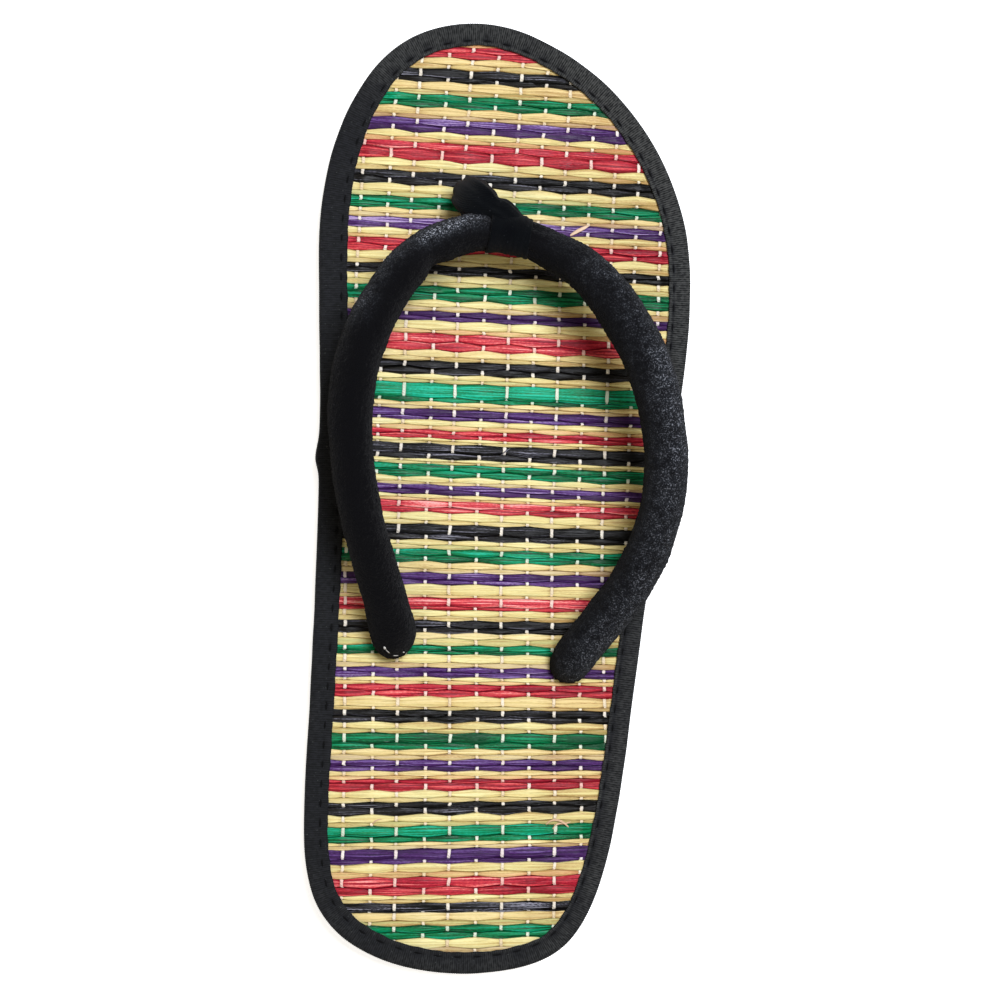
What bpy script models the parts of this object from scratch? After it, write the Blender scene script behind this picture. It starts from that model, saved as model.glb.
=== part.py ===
"""Straw flip-flop for the right foot.

A flat foam outsole carries an insole board and a woven straw mat, and a ribbed tape is folded
round the rim of board and mat. One padded velvet tube is the upper: its two ends go down through
holes in the mat, and a twill toe post holds its middle down between the first two toes.

Metres. The toe points along +Y, the big-toe side is -X, and the ground is Z = 0.
"""
import bpy
import numpy as np

# Driving sizes of the sole
SOLE_LENGTH = 0.245
OUTSOLE_THICKNESS = 0.0085
BOARD_THICKNESS = 0.0024
MAT_THICKNESS = 0.0008
STRAW_HEIGHT = 0.0004
TAPE_THICKNESS = 0.0006
GAP = 0.0003
TOE_LIFT = 0.0025
TOE_BEND_START = 0.064

# Sizes of the weave, the tread and the holes
PICK_PITCH = 0.00149
VALLEY_RISE = 0.00008
GROOVE_PITCH = 0.0085
GROOVE_WIDTH = 0.0018
GROOVE_DEPTH = 0.0010
TREAD_ZONES = ((-0.112, -0.044), (0.004, 0.112))
SOLE_EDGE_BEVEL = 0.0008

# Heights that follow from the layers
HALF_LENGTH = SOLE_LENGTH / 2
BOARD_BOTTOM = OUTSOLE_THICKNESS + GAP
BOARD_RIM_BOTTOM = BOARD_BOTTOM + TAPE_THICKNESS + GAP
BOARD_TOP = BOARD_BOTTOM + BOARD_THICKNESS
MAT_BOTTOM = BOARD_TOP + GAP
MAT_RIM_TOP = MAT_BOTTOM + MAT_THICKNESS
MAT_TOP = MAT_RIM_TOP + STRAW_HEIGHT
TAPE_INNER_TOP = MAT_RIM_TOP + GAP
TAPE_TOP = TAPE_INNER_TOP + TAPE_THICKNESS

# How far each edge lies inside the outer face of the tape
OUTSOLE_INSET = 0.0003
RIM_INSET = TAPE_THICKNESS + GAP
TAPE_WIDTH = 0.0057
TAPE_WIDTH_BIG_TOE_SIDE = 0.0065
TAPE_UNDER_WIDTH = 0.0048

# The sole seen from above: where its two sides lie at each place along the foot.
SOLE_SIDES = (
    # y, x on the big-toe side, x on the little-toe side
    (-0.1225, -0.0050, -0.0050),
    (-0.1185, -0.0267, 0.0169),
    (-0.1090, -0.0397, 0.0269),
    (-0.0930, -0.0453, 0.0326),
    (-0.0650, -0.0459, 0.0366),
    (-0.0200, -0.0456, 0.0409),
    (0.0260, -0.0465, 0.0470),
    (0.0530, -0.0479, 0.0487),
    (0.0740, -0.0481, 0.0463),
    (0.0920, -0.0448, 0.0385),
    (0.1080, -0.0373, 0.0251),
    (0.1185, -0.0259, 0.0083),
    (0.1225, -0.0090, -0.0090),
)

# The velvet tube's centre line, from the hole on the big-toe side to the one on the other side.
# Heights are above the mat.
STRAP_ROUTE = (
    # x, y, height, radius
    (-0.0253, -0.0370, -0.0033, 0.0046),
    (-0.0253, -0.0370, 0.0012, 0.0048),
    (-0.0255, -0.0360, 0.0042, 0.0052),
    (-0.0268, -0.0306, 0.0086, 0.0055),
    (-0.0307, -0.0184, 0.0155, 0.0056),
    (-0.0350, -0.0050, 0.0215, 0.0053),
    (-0.0379, 0.0093, 0.0250, 0.0053),
    (-0.0387, 0.0235, 0.0265, 0.0055),
    (-0.0366, 0.0364, 0.0260, 0.0056),
    (-0.0323, 0.0470, 0.0245, 0.0054),
    (-0.0253, 0.0574, 0.0220, 0.0053),
    (-0.0141, 0.0651, 0.0185, 0.0049),
    (-0.0011, 0.0671, 0.0165, 0.0044),
    (0.0095, 0.0636, 0.0185, 0.0050),
    (0.0183, 0.0578, 0.0220, 0.0053),
    (0.0271, 0.0474, 0.0255, 0.0057),
    (0.0341, 0.0349, 0.0275, 0.0057),
    (0.0384, 0.0201, 0.0280, 0.0055),
    (0.0399, 0.0074, 0.0260, 0.0054),
    (0.0385, -0.0059, 0.0220, 0.0054),
    (0.0326, -0.0218, 0.0145, 0.0055),
    (0.0248, -0.0338, 0.0086, 0.0054),
    (0.0209, -0.0403, 0.0042, 0.0052),
    (0.0205, -0.0416, 0.0012, 0.0048),
    (0.0205, -0.0416, -0.0033, 0.0046),
)
STRAP_MIDDLE_ROW = 12
STRAP_RINGS = 61
STRAP_FACETS = 14

# The toe post's centre line, from inside the strap forward and down into the sole.
POST_ROUTE = (
    # x, y, height, radius
    (-0.0013, 0.0676, 0.0168, 0.0040),
    (-0.0046, 0.0702, 0.0172, 0.0045),
    (-0.0080, 0.0732, 0.0160, 0.0050),
    (-0.0098, 0.0757, 0.0118, 0.0052),
    (-0.0102, 0.0776, 0.0060, 0.0047),
    (-0.0102, 0.0785, 0.0005, 0.0035),
    (-0.0102, 0.0785, -0.0033, 0.0034),
)
POST_RINGS = 16
LOOP_LENGTH = 0.0100
LOOP_WALL = 0.0009
LOOP_CLEARANCE = 0.0006
LOOP_RINGS = 6
HOLE_CLEARANCE = 0.0003
HOLE_FACETS = 20

SOLE_POINTS = 96
FINE_POINTS = 720


def material(name, colour, roughness):
    """One plain Principled material."""
    made = bpy.data.materials.new(name)
    made.use_nodes = True
    shader = made.node_tree.nodes["Principled BSDF"]
    shader.inputs["Base Color"].default_value = (*colour, 1.0)
    shader.inputs["Roughness"].default_value = roughness
    shader.inputs["Metallic"].default_value = 0.0
    made.diffuse_color = (*colour, 1.0)
    return made


def spline(knots, values, at):
    """Natural cubic spline: values at the knots, read where `at` says."""
    knots, values = np.asarray(knots, float), np.asarray(values, float)
    count = len(knots)
    step = np.diff(knots)
    system = np.eye(count)
    rise = np.zeros_like(values)
    for i in range(1, count - 1):
        system[i, i - 1:i + 2] = step[i - 1], 2 * (step[i - 1] + step[i]), step[i]
        rise[i] = 6 * ((values[i + 1] - values[i]) / step[i]
                       - (values[i] - values[i - 1]) / step[i - 1])
    bend = np.linalg.solve(system, rise)
    left = np.clip(np.searchsorted(knots, at) - 1, 0, count - 2)
    before = (at - knots[left])[:, None]
    after = (knots[left + 1] - at)[:, None]
    width = step[left][:, None]
    cubic = (bend[left] * after ** 3 + bend[left + 1] * before ** 3) / (6 * width)
    line = ((values[left] / width - bend[left] * width / 6) * after
            + (values[left + 1] / width - bend[left + 1] * width / 6) * before)
    return cubic + line


def route_points(route, count):
    """Rows of x, y, z and radius spaced evenly along a smooth curve through a route's rows."""
    rows = np.array(route, float)
    rows[:, 2] += MAT_TOP
    chords = np.linalg.norm(np.diff(rows[:, :3], axis=0), axis=1)
    knots = np.concatenate(([0.0], np.cumsum(chords)))
    return knots, spline(knots, rows, np.linspace(0.0, knots[-1], count))


def sole_edge(inset, count):
    """Points round the sole, anticlockwise from the heel, `inset` inside the tape's outer face.

    The angle t runs once round: y = -half length x cos t, and x is a spline over t, so the round
    ends keep a full curve.
    """
    sides = np.array(SOLE_SIDES)
    angles = np.arccos(np.clip(-sides[:, 0] / HALF_LENGTH, -1.0, 1.0))
    one_turn = np.concatenate((-angles[:0:-1], angles[:-1]))
    across = np.concatenate((sides[:0:-1, 1], sides[:-1, 2]))
    knots = np.concatenate((one_turn - 2 * np.pi, one_turn, one_turn + 2 * np.pi))
    turn = 2 * np.pi * np.arange(count) / count
    x = spline(knots, np.tile(across, 3)[:, None], turn)[:, 0]
    y = -HALF_LENGTH * np.cos(turn)
    nudge = 0.001
    slope = (spline(knots, np.tile(across, 3)[:, None], turn + nudge)
             - spline(knots, np.tile(across, 3)[:, None], turn - nudge))[:, 0] / (2 * nudge)
    along = np.stack((slope, HALF_LENGTH * np.sin(turn)), axis=1)
    along /= np.linalg.norm(along, axis=1)[:, None]
    inward = np.stack((-along[:, 1], along[:, 0]), axis=1)
    return np.stack((x, y), axis=1) + inward * np.reshape(inset, (-1, 1))


def sole_ring(inset, height, count=SOLE_POINTS):
    """One ring of the sole's outline at a height."""
    edge = sole_edge(inset, count)
    return np.column_stack((edge, np.full(count, height)))


def tube_rings(rows, facets):
    """Round rings along a path, turned as little as possible from each to the next."""
    centres, radii = rows[:, :3], rows[:, 3]
    along = np.gradient(centres, axis=0)
    along /= np.linalg.norm(along, axis=1)[:, None]
    side = np.cross(along[0], (0.0, 1.0, 0.0))
    angle = 2 * np.pi * np.arange(facets) / facets
    rings = []
    for centre, radius, ahead in zip(centres, radii, along):
        side = side - ahead * np.dot(side, ahead)
        side /= np.linalg.norm(side)
        up = np.cross(ahead, side)
        rings.append(centre + radius * (np.cos(angle)[:, None] * side
                                        + np.sin(angle)[:, None] * up))
    return rings


def ladder(first, count):
    """Faces that fill a ring whose points k and count - k lie across from each other."""
    last = count // 2
    faces = [(0, 1, count - 1)]
    faces += [(k, k + 1, count - k - 1, count - k) for k in range(1, last - 1)]
    faces.append((last - 1, last, last + 1))
    return [tuple(first + index for index in face) for face in faces]


def add_object(name, points, faces, finish):
    """A mesh object from points and faces."""
    mesh = bpy.data.meshes.new(name)
    mesh.from_pydata([tuple(point) for point in points], [], faces)
    mesh.materials.append(finish)
    made = bpy.data.objects.new(name, mesh)
    bpy.context.collection.objects.link(made)
    return made


def ring_solid(name, rings, finish, endless=False):
    """A closed solid through rings of equal size, capped at both ends unless it is endless."""
    count = len(rings[0])
    faces = []
    total = len(rings)
    for row in range(total if endless else total - 1):
        low, high = row * count, ((row + 1) % total) * count
        faces += [(low + k, low + (k + 1) % count, high + (k + 1) % count, high + k)
                  for k in range(count)]
    if not endless:
        faces += [face[::-1] for face in ladder(0, count)]
        faces += ladder((total - 1) * count, count)
    return add_object(name, np.concatenate(rings), faces, finish)


def combine(target, tool, operation):
    """Apply a Boolean to the target and remove the tool."""
    cut = target.modifiers.new(operation.title(), "BOOLEAN")
    cut.operation = operation
    cut.solver = "EXACT"
    cut.object = tool
    graph = bpy.context.evaluated_depsgraph_get()
    result = bpy.data.meshes.new_from_object(target.evaluated_get(graph))
    target.modifiers.remove(cut)
    target.data = result
    bpy.data.objects.remove(tool)


def lift_toe(piece):
    """Bend a finished piece up towards the toe, more and more steeply from the ball."""
    mesh = piece.data
    points = np.empty(len(mesh.vertices) * 3)
    mesh.vertices.foreach_get("co", points)
    points = points.reshape(-1, 3)
    past_bend = np.maximum(points[:, 1] - TOE_BEND_START, 0.0) / (HALF_LENGTH - TOE_BEND_START)
    points[:, 2] += TOE_LIFT * past_bend ** 2
    mesh.vertices.foreach_set("co", points.ravel())
    mesh.update()


def bar(name, y_low, y_high, z_low, z_high, finish):
    """A bar across the whole sole, used to cut a groove."""
    end = HALF_LENGTH
    ring = np.array([(-end, y_low, 0), (end, y_low, 0), (end, y_high, 0), (-end, y_high, 0)])
    low, high = ring + (0, 0, z_low), ring + (0, 0, z_high)
    faces = [(0, 3, 2, 1), (4, 5, 6, 7)]
    faces += [(k, (k + 1) % 4, 4 + (k + 1) % 4, 4 + k) for k in range(4)]
    return add_object(name, np.concatenate((low, high)), faces, finish)


def cut_holes(piece, finish):
    """Cut the two strap holes and the toe-post hole straight down through a layer."""
    for row in (STRAP_ROUTE[1], STRAP_ROUTE[-2], POST_ROUTE[-2]):
        centre = np.array((row[0], row[1], 0.0))
        radius = row[3] + HOLE_CLEARANCE
        rows = np.array([(*centre[:2], 0.0, radius), (*centre[:2], 2 * MAT_TOP, radius)])
        drill = ring_solid("drill", tube_rings(rows, HOLE_FACETS), finish)
        combine(piece, drill, "DIFFERENCE")


def make_outsole():
    """Foam sheet with softened edges and cross grooves under heel and forefoot."""
    foam = material("eva_foam", (0.022, 0.022, 0.024), 0.75)
    rings = [
        sole_ring(OUTSOLE_INSET + SOLE_EDGE_BEVEL, 0.0),
        sole_ring(OUTSOLE_INSET, SOLE_EDGE_BEVEL),
        sole_ring(OUTSOLE_INSET, OUTSOLE_THICKNESS - SOLE_EDGE_BEVEL / 2),
        sole_ring(OUTSOLE_INSET + SOLE_EDGE_BEVEL / 2, OUTSOLE_THICKNESS),
    ]
    outsole = ring_solid("outsole", rings, foam)
    for start, end in TREAD_ZONES:
        grooves = int((end - start) / GROOVE_PITCH) + 1
        for index in range(grooves):
            y = start + index * GROOVE_PITCH
            groove = bar("groove", y, y + GROOVE_WIDTH, -GROOVE_DEPTH, GROOVE_DEPTH, foam)
            combine(outsole, groove, "DIFFERENCE")
    return outsole


def make_insole_board():
    """Thin board, thinner round its rim where the tape is folded under it."""
    finish = material("insole_foam", (0.55, 0.50, 0.42), 0.85)
    step = TAPE_UNDER_WIDTH + GAP
    rings = [
        sole_ring(step, BOARD_BOTTOM),
        sole_ring(step, BOARD_RIM_BOTTOM),
        sole_ring(RIM_INSET, BOARD_RIM_BOTTOM),
        sole_ring(RIM_INSET, BOARD_TOP),
    ]
    board = ring_solid("insole_board", rings, finish)
    cut_holes(board, finish)
    return board


def tape_inset():
    """Width of the tape on top at each point round the sole, widest on the big-toe side."""
    turn = 2 * np.pi * np.arange(SOLE_POINTS) / SOLE_POINTS
    big_toe_side = np.maximum(-np.sin(turn), 0.0)
    return TAPE_WIDTH + (TAPE_WIDTH_BIG_TOE_SIDE - TAPE_WIDTH) * big_toe_side


def make_straw_mat():
    """Sheet of woven straw: a flat rim under the tape, and raised strips across the foot."""
    straw = material("woven_straw", (0.80, 0.62, 0.30), 0.45)
    rim = [sole_ring(RIM_INSET, MAT_BOTTOM), sole_ring(RIM_INSET, MAT_RIM_TOP)]
    mat = ring_solid("straw_mat", rim, straw)

    valley = MAT_RIM_TOP + VALLEY_RISE
    profile = [(-HALF_LENGTH, valley)]
    picks = int(SOLE_LENGTH / PICK_PITCH)
    for index in range(picks):
        y = -HALF_LENGTH + index * PICK_PITCH
        profile += [(y + 0.28 * PICK_PITCH, MAT_TOP), (y + 0.72 * PICK_PITCH, MAT_TOP),
                    (y + PICK_PITCH, valley)]
    buried = (MAT_BOTTOM + MAT_RIM_TOP) / 2
    profile += [(profile[-1][0], buried), (-HALF_LENGTH, buried)]
    count = len(profile)
    points = [(side * HALF_LENGTH, y, z) for side in (-1, 1) for y, z in profile]
    faces = [(k, (k + 1) % count, count + (k + 1) % count, count + k) for k in range(count)]
    faces += [tuple(range(count))[::-1], tuple(range(count, 2 * count))]
    strips = add_object("strips", points, faces, straw)

    inner = tape_inset() + GAP
    field = [sole_ring(inner, 0.0), sole_ring(inner, 2 * MAT_TOP)]
    combine(strips, ring_solid("field", field, straw), "INTERSECT")
    combine(mat, strips, "UNION")
    cut_holes(mat, straw)
    return mat


def make_binding():
    """Ribbed tape folded over the rim: a C in section, carried round the sole."""
    tape = material("grosgrain_tape", (0.018, 0.020, 0.020), 0.8)
    wide = tape_inset()
    section = (
        # inset, height
        (TAPE_UNDER_WIDTH, BOARD_BOTTOM),
        (GAP, BOARD_BOTTOM),
        (0.0, BOARD_BOTTOM + GAP),
        (0.0, TAPE_TOP - 2 * GAP),
        (2 * GAP, TAPE_TOP),
        (wide, TAPE_TOP - GAP / 2),
        (wide, TAPE_INNER_TOP),
        (TAPE_THICKNESS, TAPE_INNER_TOP),
        (TAPE_THICKNESS, BOARD_BOTTOM + TAPE_THICKNESS),
        (TAPE_UNDER_WIDTH, BOARD_BOTTOM + TAPE_THICKNESS),
    )
    rings = [sole_ring(inset, height) for inset, height in section]
    return ring_solid("binding", rings, tape, endless=True)


def make_strap():
    """Padded velvet tube from one hole to the other."""
    velvet = material("black_velvet", (0.012, 0.012, 0.014), 0.9)
    rows = route_points(STRAP_ROUTE, STRAP_RINGS)[1]
    return ring_solid("strap", tube_rings(rows, STRAP_FACETS), velvet)


def make_toe_post():
    """Twill band: a loop round the strap's middle, gathered and led down into the sole."""
    twill = material("black_twill", (0.014, 0.014, 0.015), 0.85)
    knots, _ = route_points(STRAP_ROUTE, 2)
    rows = np.array(STRAP_ROUTE)
    rows[:, 2] += MAT_TOP
    middle = knots[STRAP_MIDDLE_ROW]
    reach = np.linspace(middle - LOOP_LENGTH / 2, middle + LOOP_LENGTH / 2, LOOP_RINGS)
    sleeve_rows = spline(knots, rows, reach)
    sleeve_rows[:, 3] += LOOP_CLEARANCE + LOOP_WALL
    toe_post = ring_solid("toe_post", tube_rings(sleeve_rows, STRAP_FACETS), twill)

    post_rows = route_points(POST_ROUTE, POST_RINGS)[1]
    combine(toe_post, ring_solid("post", tube_rings(post_rows, STRAP_FACETS), twill), "UNION")

    core = np.linspace(middle - 1.4 * LOOP_LENGTH, middle + LOOP_LENGTH, 3 * LOOP_RINGS)
    core_rows = spline(knots, rows, core)
    core_rows[:, 3] += LOOP_CLEARANCE
    combine(toe_post, ring_solid("core", tube_rings(core_rows, STRAP_FACETS), twill), "DIFFERENCE")
    return toe_post


def build():
    """Clear the scene and model every piece."""
    for old in list(bpy.data.objects):
        bpy.data.objects.remove(old)
    pieces = [make_outsole(), make_insole_board(), make_straw_mat(), make_binding(),
              make_strap(), make_toe_post()]
    for piece in pieces:
        lift_toe(piece)


build()
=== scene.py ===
"""Looks of the straw flip-flop for the right foot, put on piece by piece as the shoe is made.

All sizes are millimetres until a mesh is made; the frame itself is in metres. The toe points along
+Y, the big-toe side is -X, and the ground is Z = 0.
"""

import bpy
import numpy as np
from mathutils import Matrix, Vector


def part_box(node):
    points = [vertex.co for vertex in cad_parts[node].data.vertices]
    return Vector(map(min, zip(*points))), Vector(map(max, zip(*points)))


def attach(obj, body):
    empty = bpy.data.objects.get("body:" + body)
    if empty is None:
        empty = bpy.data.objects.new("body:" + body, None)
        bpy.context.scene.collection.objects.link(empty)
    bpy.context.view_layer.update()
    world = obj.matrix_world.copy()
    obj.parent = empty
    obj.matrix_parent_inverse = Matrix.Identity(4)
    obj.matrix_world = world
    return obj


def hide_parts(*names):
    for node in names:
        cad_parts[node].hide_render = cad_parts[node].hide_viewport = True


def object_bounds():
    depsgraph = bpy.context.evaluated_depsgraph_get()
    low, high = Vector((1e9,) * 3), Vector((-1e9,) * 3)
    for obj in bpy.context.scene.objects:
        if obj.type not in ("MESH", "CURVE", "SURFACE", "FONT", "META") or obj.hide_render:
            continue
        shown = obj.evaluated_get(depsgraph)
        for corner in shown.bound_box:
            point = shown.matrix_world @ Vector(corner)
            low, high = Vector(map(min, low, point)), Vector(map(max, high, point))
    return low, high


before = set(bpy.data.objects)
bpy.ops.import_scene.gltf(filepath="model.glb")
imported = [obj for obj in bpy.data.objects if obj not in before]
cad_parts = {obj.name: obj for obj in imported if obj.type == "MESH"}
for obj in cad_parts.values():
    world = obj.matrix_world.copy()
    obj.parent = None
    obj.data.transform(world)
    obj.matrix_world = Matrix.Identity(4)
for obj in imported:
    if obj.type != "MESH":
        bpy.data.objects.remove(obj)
cad_low, cad_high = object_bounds()

# ----------------------------------------------------------
# Outsole. A flat sheet of black EVA foam, cut with a die to the outline of the sole, with grooves
# pressed across heel and forefoot. It is glued under the board and its cut side stays bare.

MM = 0.001
binding_low, binding_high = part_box("binding")
HALF_LENGTH = (binding_high.y - binding_low.y) / 2 / MM
OUTSOLE_TOP = 8.5
OUTSOLE_INSET = 0.3
SOLE_BEVEL = 0.8
GROOVE_PITCH = 8.5
GROOVE_WIDTH = 1.8
GROOVE_DEPTH = 1.0
GROOVE_WALL = 0.15
TREAD_ZONES = ((-112.0, -44.0), (4.0, 112.0))
TOE_LIFT = 2.5
TOE_BEND_START = 64.0
CREASE = 40

# The sole seen from above: where its two sides lie at each place along the foot.
SOLE_SIDES = (
    # y, x on the big-toe side, x on the little-toe side
    (-122.5, -5.0, -5.0),
    (-118.5, -26.7, 16.9),
    (-109.0, -39.7, 26.9),
    (-93.0, -45.3, 32.6),
    (-65.0, -45.9, 36.6),
    (-20.0, -45.6, 40.9),
    (26.0, -46.5, 47.0),
    (53.0, -47.9, 48.7),
    (74.0, -48.1, 46.3),
    (92.0, -44.8, 38.5),
    (108.0, -37.3, 25.1),
    (118.5, -25.9, 8.3),
    (122.5, -9.0, -9.0),
)


def spline(knots, values, at):
    """Natural cubic spline: the smoothest curve through the values at the knots, read at `at`."""
    knots, values = np.asarray(knots, float), np.asarray(values, float)
    step = np.diff(knots)
    system = np.eye(len(knots))
    rise = np.zeros_like(values)
    inner = np.arange(1, len(knots) - 1)
    system[inner, inner - 1] = step[:-1]
    system[inner, inner] = 2 * (step[:-1] + step[1:])
    system[inner, inner + 1] = step[1:]
    slope = np.diff(values, axis=0) / step[:, None]
    rise[1:-1] = 6 * np.diff(slope, axis=0)
    bend = np.linalg.solve(system, rise)
    left = np.clip(np.searchsorted(knots, at) - 1, 0, len(knots) - 2)
    before = (at - knots[left])[:, None]
    after = (knots[left + 1] - at)[:, None]
    width = step[left][:, None]
    cubic = (bend[left] * after ** 3 + bend[left + 1] * before ** 3) / (6 * width)
    line = ((values[left] / width - bend[left] * width / 6) * after
            + (values[left + 1] / width - bend[left + 1] * width / 6) * before)
    return cubic + line


def unit(vectors):
    """The same directions, each with a length of 1."""
    return vectors / np.linalg.norm(vectors, axis=-1, keepdims=True)


def outline_x(turn):
    """x of the outline at angles `turn`: a periodic spline over the angle through SOLE_SIDES."""
    sides = np.array(SOLE_SIDES)
    angles = np.arccos(np.clip(-sides[:, 0] / HALF_LENGTH, -1.0, 1.0))
    one_turn = np.concatenate((-angles[:0:-1], angles[:-1]))
    across = np.concatenate((sides[:0:-1, 1], sides[:-1, 2]))
    knots = np.concatenate((one_turn - 2 * np.pi, one_turn, one_turn + 2 * np.pi))
    return spline(knots, np.tile(across, 3)[:, None], turn)[:, 0]


def sole_edge(turn, inset):
    """Points on the outline at angles `turn`, from the heel round the little-toe side, moved in.

    y = -half length x cos(turn). The inset is measured square to the outline, towards the middle.
    """
    nudge = 0.001
    slope = (outline_x(turn + nudge) - outline_x(turn - nudge)) / (2 * nudge)
    along = unit(np.stack((slope, HALF_LENGTH * np.sin(turn)), axis=-1))
    inward = np.stack((-along[:, 1], along[:, 0]), axis=-1)
    edge = np.stack((outline_x(turn), -HALF_LENGTH * np.cos(turn)), axis=-1)
    return edge + inward * np.reshape(inset, (-1, 1))


def lift_toe(points):
    """Bends points up towards the toe: lift x (way past the ball / way to the tip) squared."""
    past = np.maximum(points[..., 1] - TOE_BEND_START, 0.0) / (HALF_LENGTH - TOE_BEND_START)
    raised = points.copy()
    raised[..., 2] += TOE_LIFT * past ** 2
    return raised


def add_object(name, data):
    """A new object in the scene."""
    made = bpy.data.objects.new(name, data)
    bpy.context.collection.objects.link(made)
    return made


def add_mesh(name, points, faces, finish, uv=None, shade=None, rim=None, tint=None, crease=None):
    """Mesh object from whole arrays, in millimetres, with the toe's lift put on.

    points is (n, 3), faces a list of (count, corners) index arrays, uv one (x, y) for each corner,
    shade and rim one number and tint one colour and its share for each point. crease is the angle
    past which an edge stays sharp.
    """
    mesh = bpy.data.meshes.new(name)
    mesh.vertices.add(len(points))
    mesh.vertices.foreach_set("co", (lift_toe(points) * MM).astype(np.float32).ravel())
    corners = np.concatenate([group.ravel() for group in faces]).astype(np.int32)
    sizes = np.concatenate([np.full(len(group), group.shape[1]) for group in faces])
    mesh.loops.add(len(corners))
    mesh.loops.foreach_set("vertex_index", corners)
    mesh.polygons.add(len(sizes))
    starts = np.concatenate(([0], np.cumsum(sizes)[:-1])).astype(np.int32)
    mesh.polygons.foreach_set("loop_start", starts)
    if uv is not None:
        layer = mesh.uv_layers.new(name="fibre")
        layer.uv.foreach_set("vector", uv.astype(np.float32).ravel())
    for label, kind, field, values in (("shade", "FLOAT", "value", shade),
                                       ("rim", "FLOAT", "value", rim),
                                       ("tint", "FLOAT_COLOR", "color", tint)):
        if values is not None:
            layer = mesh.attributes.new(label, kind, "POINT")
            layer.data.foreach_set(field, values.astype(np.float32).ravel())
    mesh.update(calc_edges=True)
    mesh.shade_smooth()
    if crease is not None:
        mesh.set_sharp_from_angle(angle=np.radians(crease))
    mesh.materials.append(finish)
    return add_object(name, mesh)


def colour(red, green, blue):
    """A paint-card colour, 0 to 255 each, as the linear colour that a shader takes."""
    card = np.array((red, green, blue)) / 255
    linear = np.where(card > 0.04045, ((card + 0.055) / 1.055) ** 2.4, card / 12.92)
    return (*linear.tolist(), 1.0)


def put(tree, kind, inputs=None, **settings):
    """Adds a shader node. Each input takes a number, a colour or another node's output."""
    made = tree.nodes.new("ShaderNode" + kind)
    for key, value in settings.items():
        setattr(made, key, value)
    for key, value in (inputs or {}).items():
        if isinstance(value, bpy.types.NodeSocket):
            tree.links.new(value, made.inputs[key])
        else:
            made.inputs[key].default_value = value
    return made


def sum_up(tree, operation, first, second=0.0, third=0.0, clamp=False):
    """Output of a Math node."""
    inputs = {0: first, 1: second, 2: third}
    return put(tree, "Math", inputs, operation=operation, use_clamp=clamp).outputs[0]


def blend_colours(tree, share, first, second):
    """Output of a colour Mix node: first where share is 0, second where it is 1."""
    inputs = {0: share, 6: first, 7: second}
    return put(tree, "Mix", inputs, data_type="RGBA").outputs[2]


def coats(tree, under, *layers):
    """A paint-card colour under layers of others: each layer is its share and its colour."""
    base = colour(*under)
    for share, card in layers:
        base = blend_colours(tree, share, base, colour(*card))
    return base


def step_between(tree, value, low, high, start=0.0, end=1.0):
    """Smooth step from start to end while value goes from low to high."""
    inputs = {"Value": value, "From Min": low, "From Max": high, "To Min": start, "To Max": end}
    return put(tree, "MapRange", inputs, interpolation_type="SMOOTHSTEP").outputs[0]


def noise(tree, vector, scale, detail=2.0, roughness=0.5):
    """Value of a Noise texture."""
    inputs = {"Vector": vector, "Scale": scale, "Detail": detail, "Roughness": roughness}
    return put(tree, "TexNoise", inputs).outputs["Fac"]


def bumps(tree, height, distance):
    """Normal from a height that counts `distance` in millimetres."""
    return put(tree, "Bump", {"Height": height, "Distance": distance * MM}).outputs["Normal"]


def new_finish(name, roughness, **constants):
    """A Principled material with what is the same all over it; returns material and tree."""
    made = bpy.data.materials.new(name)
    made.use_nodes = True
    shader = made.node_tree.nodes["Principled BSDF"]
    shader.inputs["Roughness"].default_value = roughness
    for key, value in constants.items():
        shader.inputs[key.replace("_", " ").title().replace("Ior", "IOR")].default_value = value
    return made, made.node_tree


def dress(made, **links):
    """Links what varies over a material to its Principled shader, and returns the material."""
    shader = made.node_tree.nodes["Principled BSDF"]
    for key, value in links.items():
        made.node_tree.links.new(value, shader.inputs[key.replace("_", " ").title()])
    return made


def new_group(name, inputs, outputs):
    """A shader node group with named sockets; returns its tree, its input and its output node."""
    tree = bpy.data.node_groups.new(name, "ShaderNodeTree")
    for label, kind, value in inputs:
        socket = tree.interface.new_socket(label, in_out="INPUT", socket_type="NodeSocket" + kind)
        if value is not None:
            socket.default_value = value
    for label in outputs:
        tree.interface.new_socket(label, in_out="OUTPUT", socket_type="NodeSocketFloat")
    return tree, tree.nodes.new("NodeGroupInput"), tree.nodes.new("NodeGroupOutput")


def make_lint_group():
    """Cloth and foam are never one flat colour: broad mottling, fine grain and rare light lint.

    Mottle, Grain and Lint are 0 to 1, all from noises on the object's own coordinates.
    """
    inputs = (("Grain Size", "Float", 0.4), ("Patch Size", "Float", 12.0))
    tree, given, result = new_group("lint_and_grain", inputs, ("Mottle", "Grain", "Lint"))
    place = put(tree, "TexCoord").outputs["Object"]
    grain_scale = sum_up(tree, "DIVIDE", 1000.0, given.outputs["Grain Size"])
    patch_scale = sum_up(tree, "DIVIDE", 1000.0, given.outputs["Patch Size"])
    mottle = noise(tree, place, patch_scale, 3.0)
    grain = noise(tree, place, grain_scale, 2.0, 0.6)
    specks = noise(tree, place, sum_up(tree, "MULTIPLY", grain_scale, 0.55), 1.0)
    tree.links.new(step_between(tree, mottle, 0.3, 0.7), result.inputs["Mottle"])
    tree.links.new(step_between(tree, grain, 0.25, 0.75), result.inputs["Grain"])
    tree.links.new(step_between(tree, specks, 0.70, 0.80), result.inputs["Lint"])
    return tree


lint_and_grain = make_lint_group()


def lint_parts(tree, grain, patch):
    """Mottle, Grain and Lint for a grain size and a patch size in millimetres."""
    sizes = {"Grain Size": grain, "Patch Size": patch}
    return put(tree, "Group", sizes, node_tree=lint_and_grain).outputs


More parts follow.
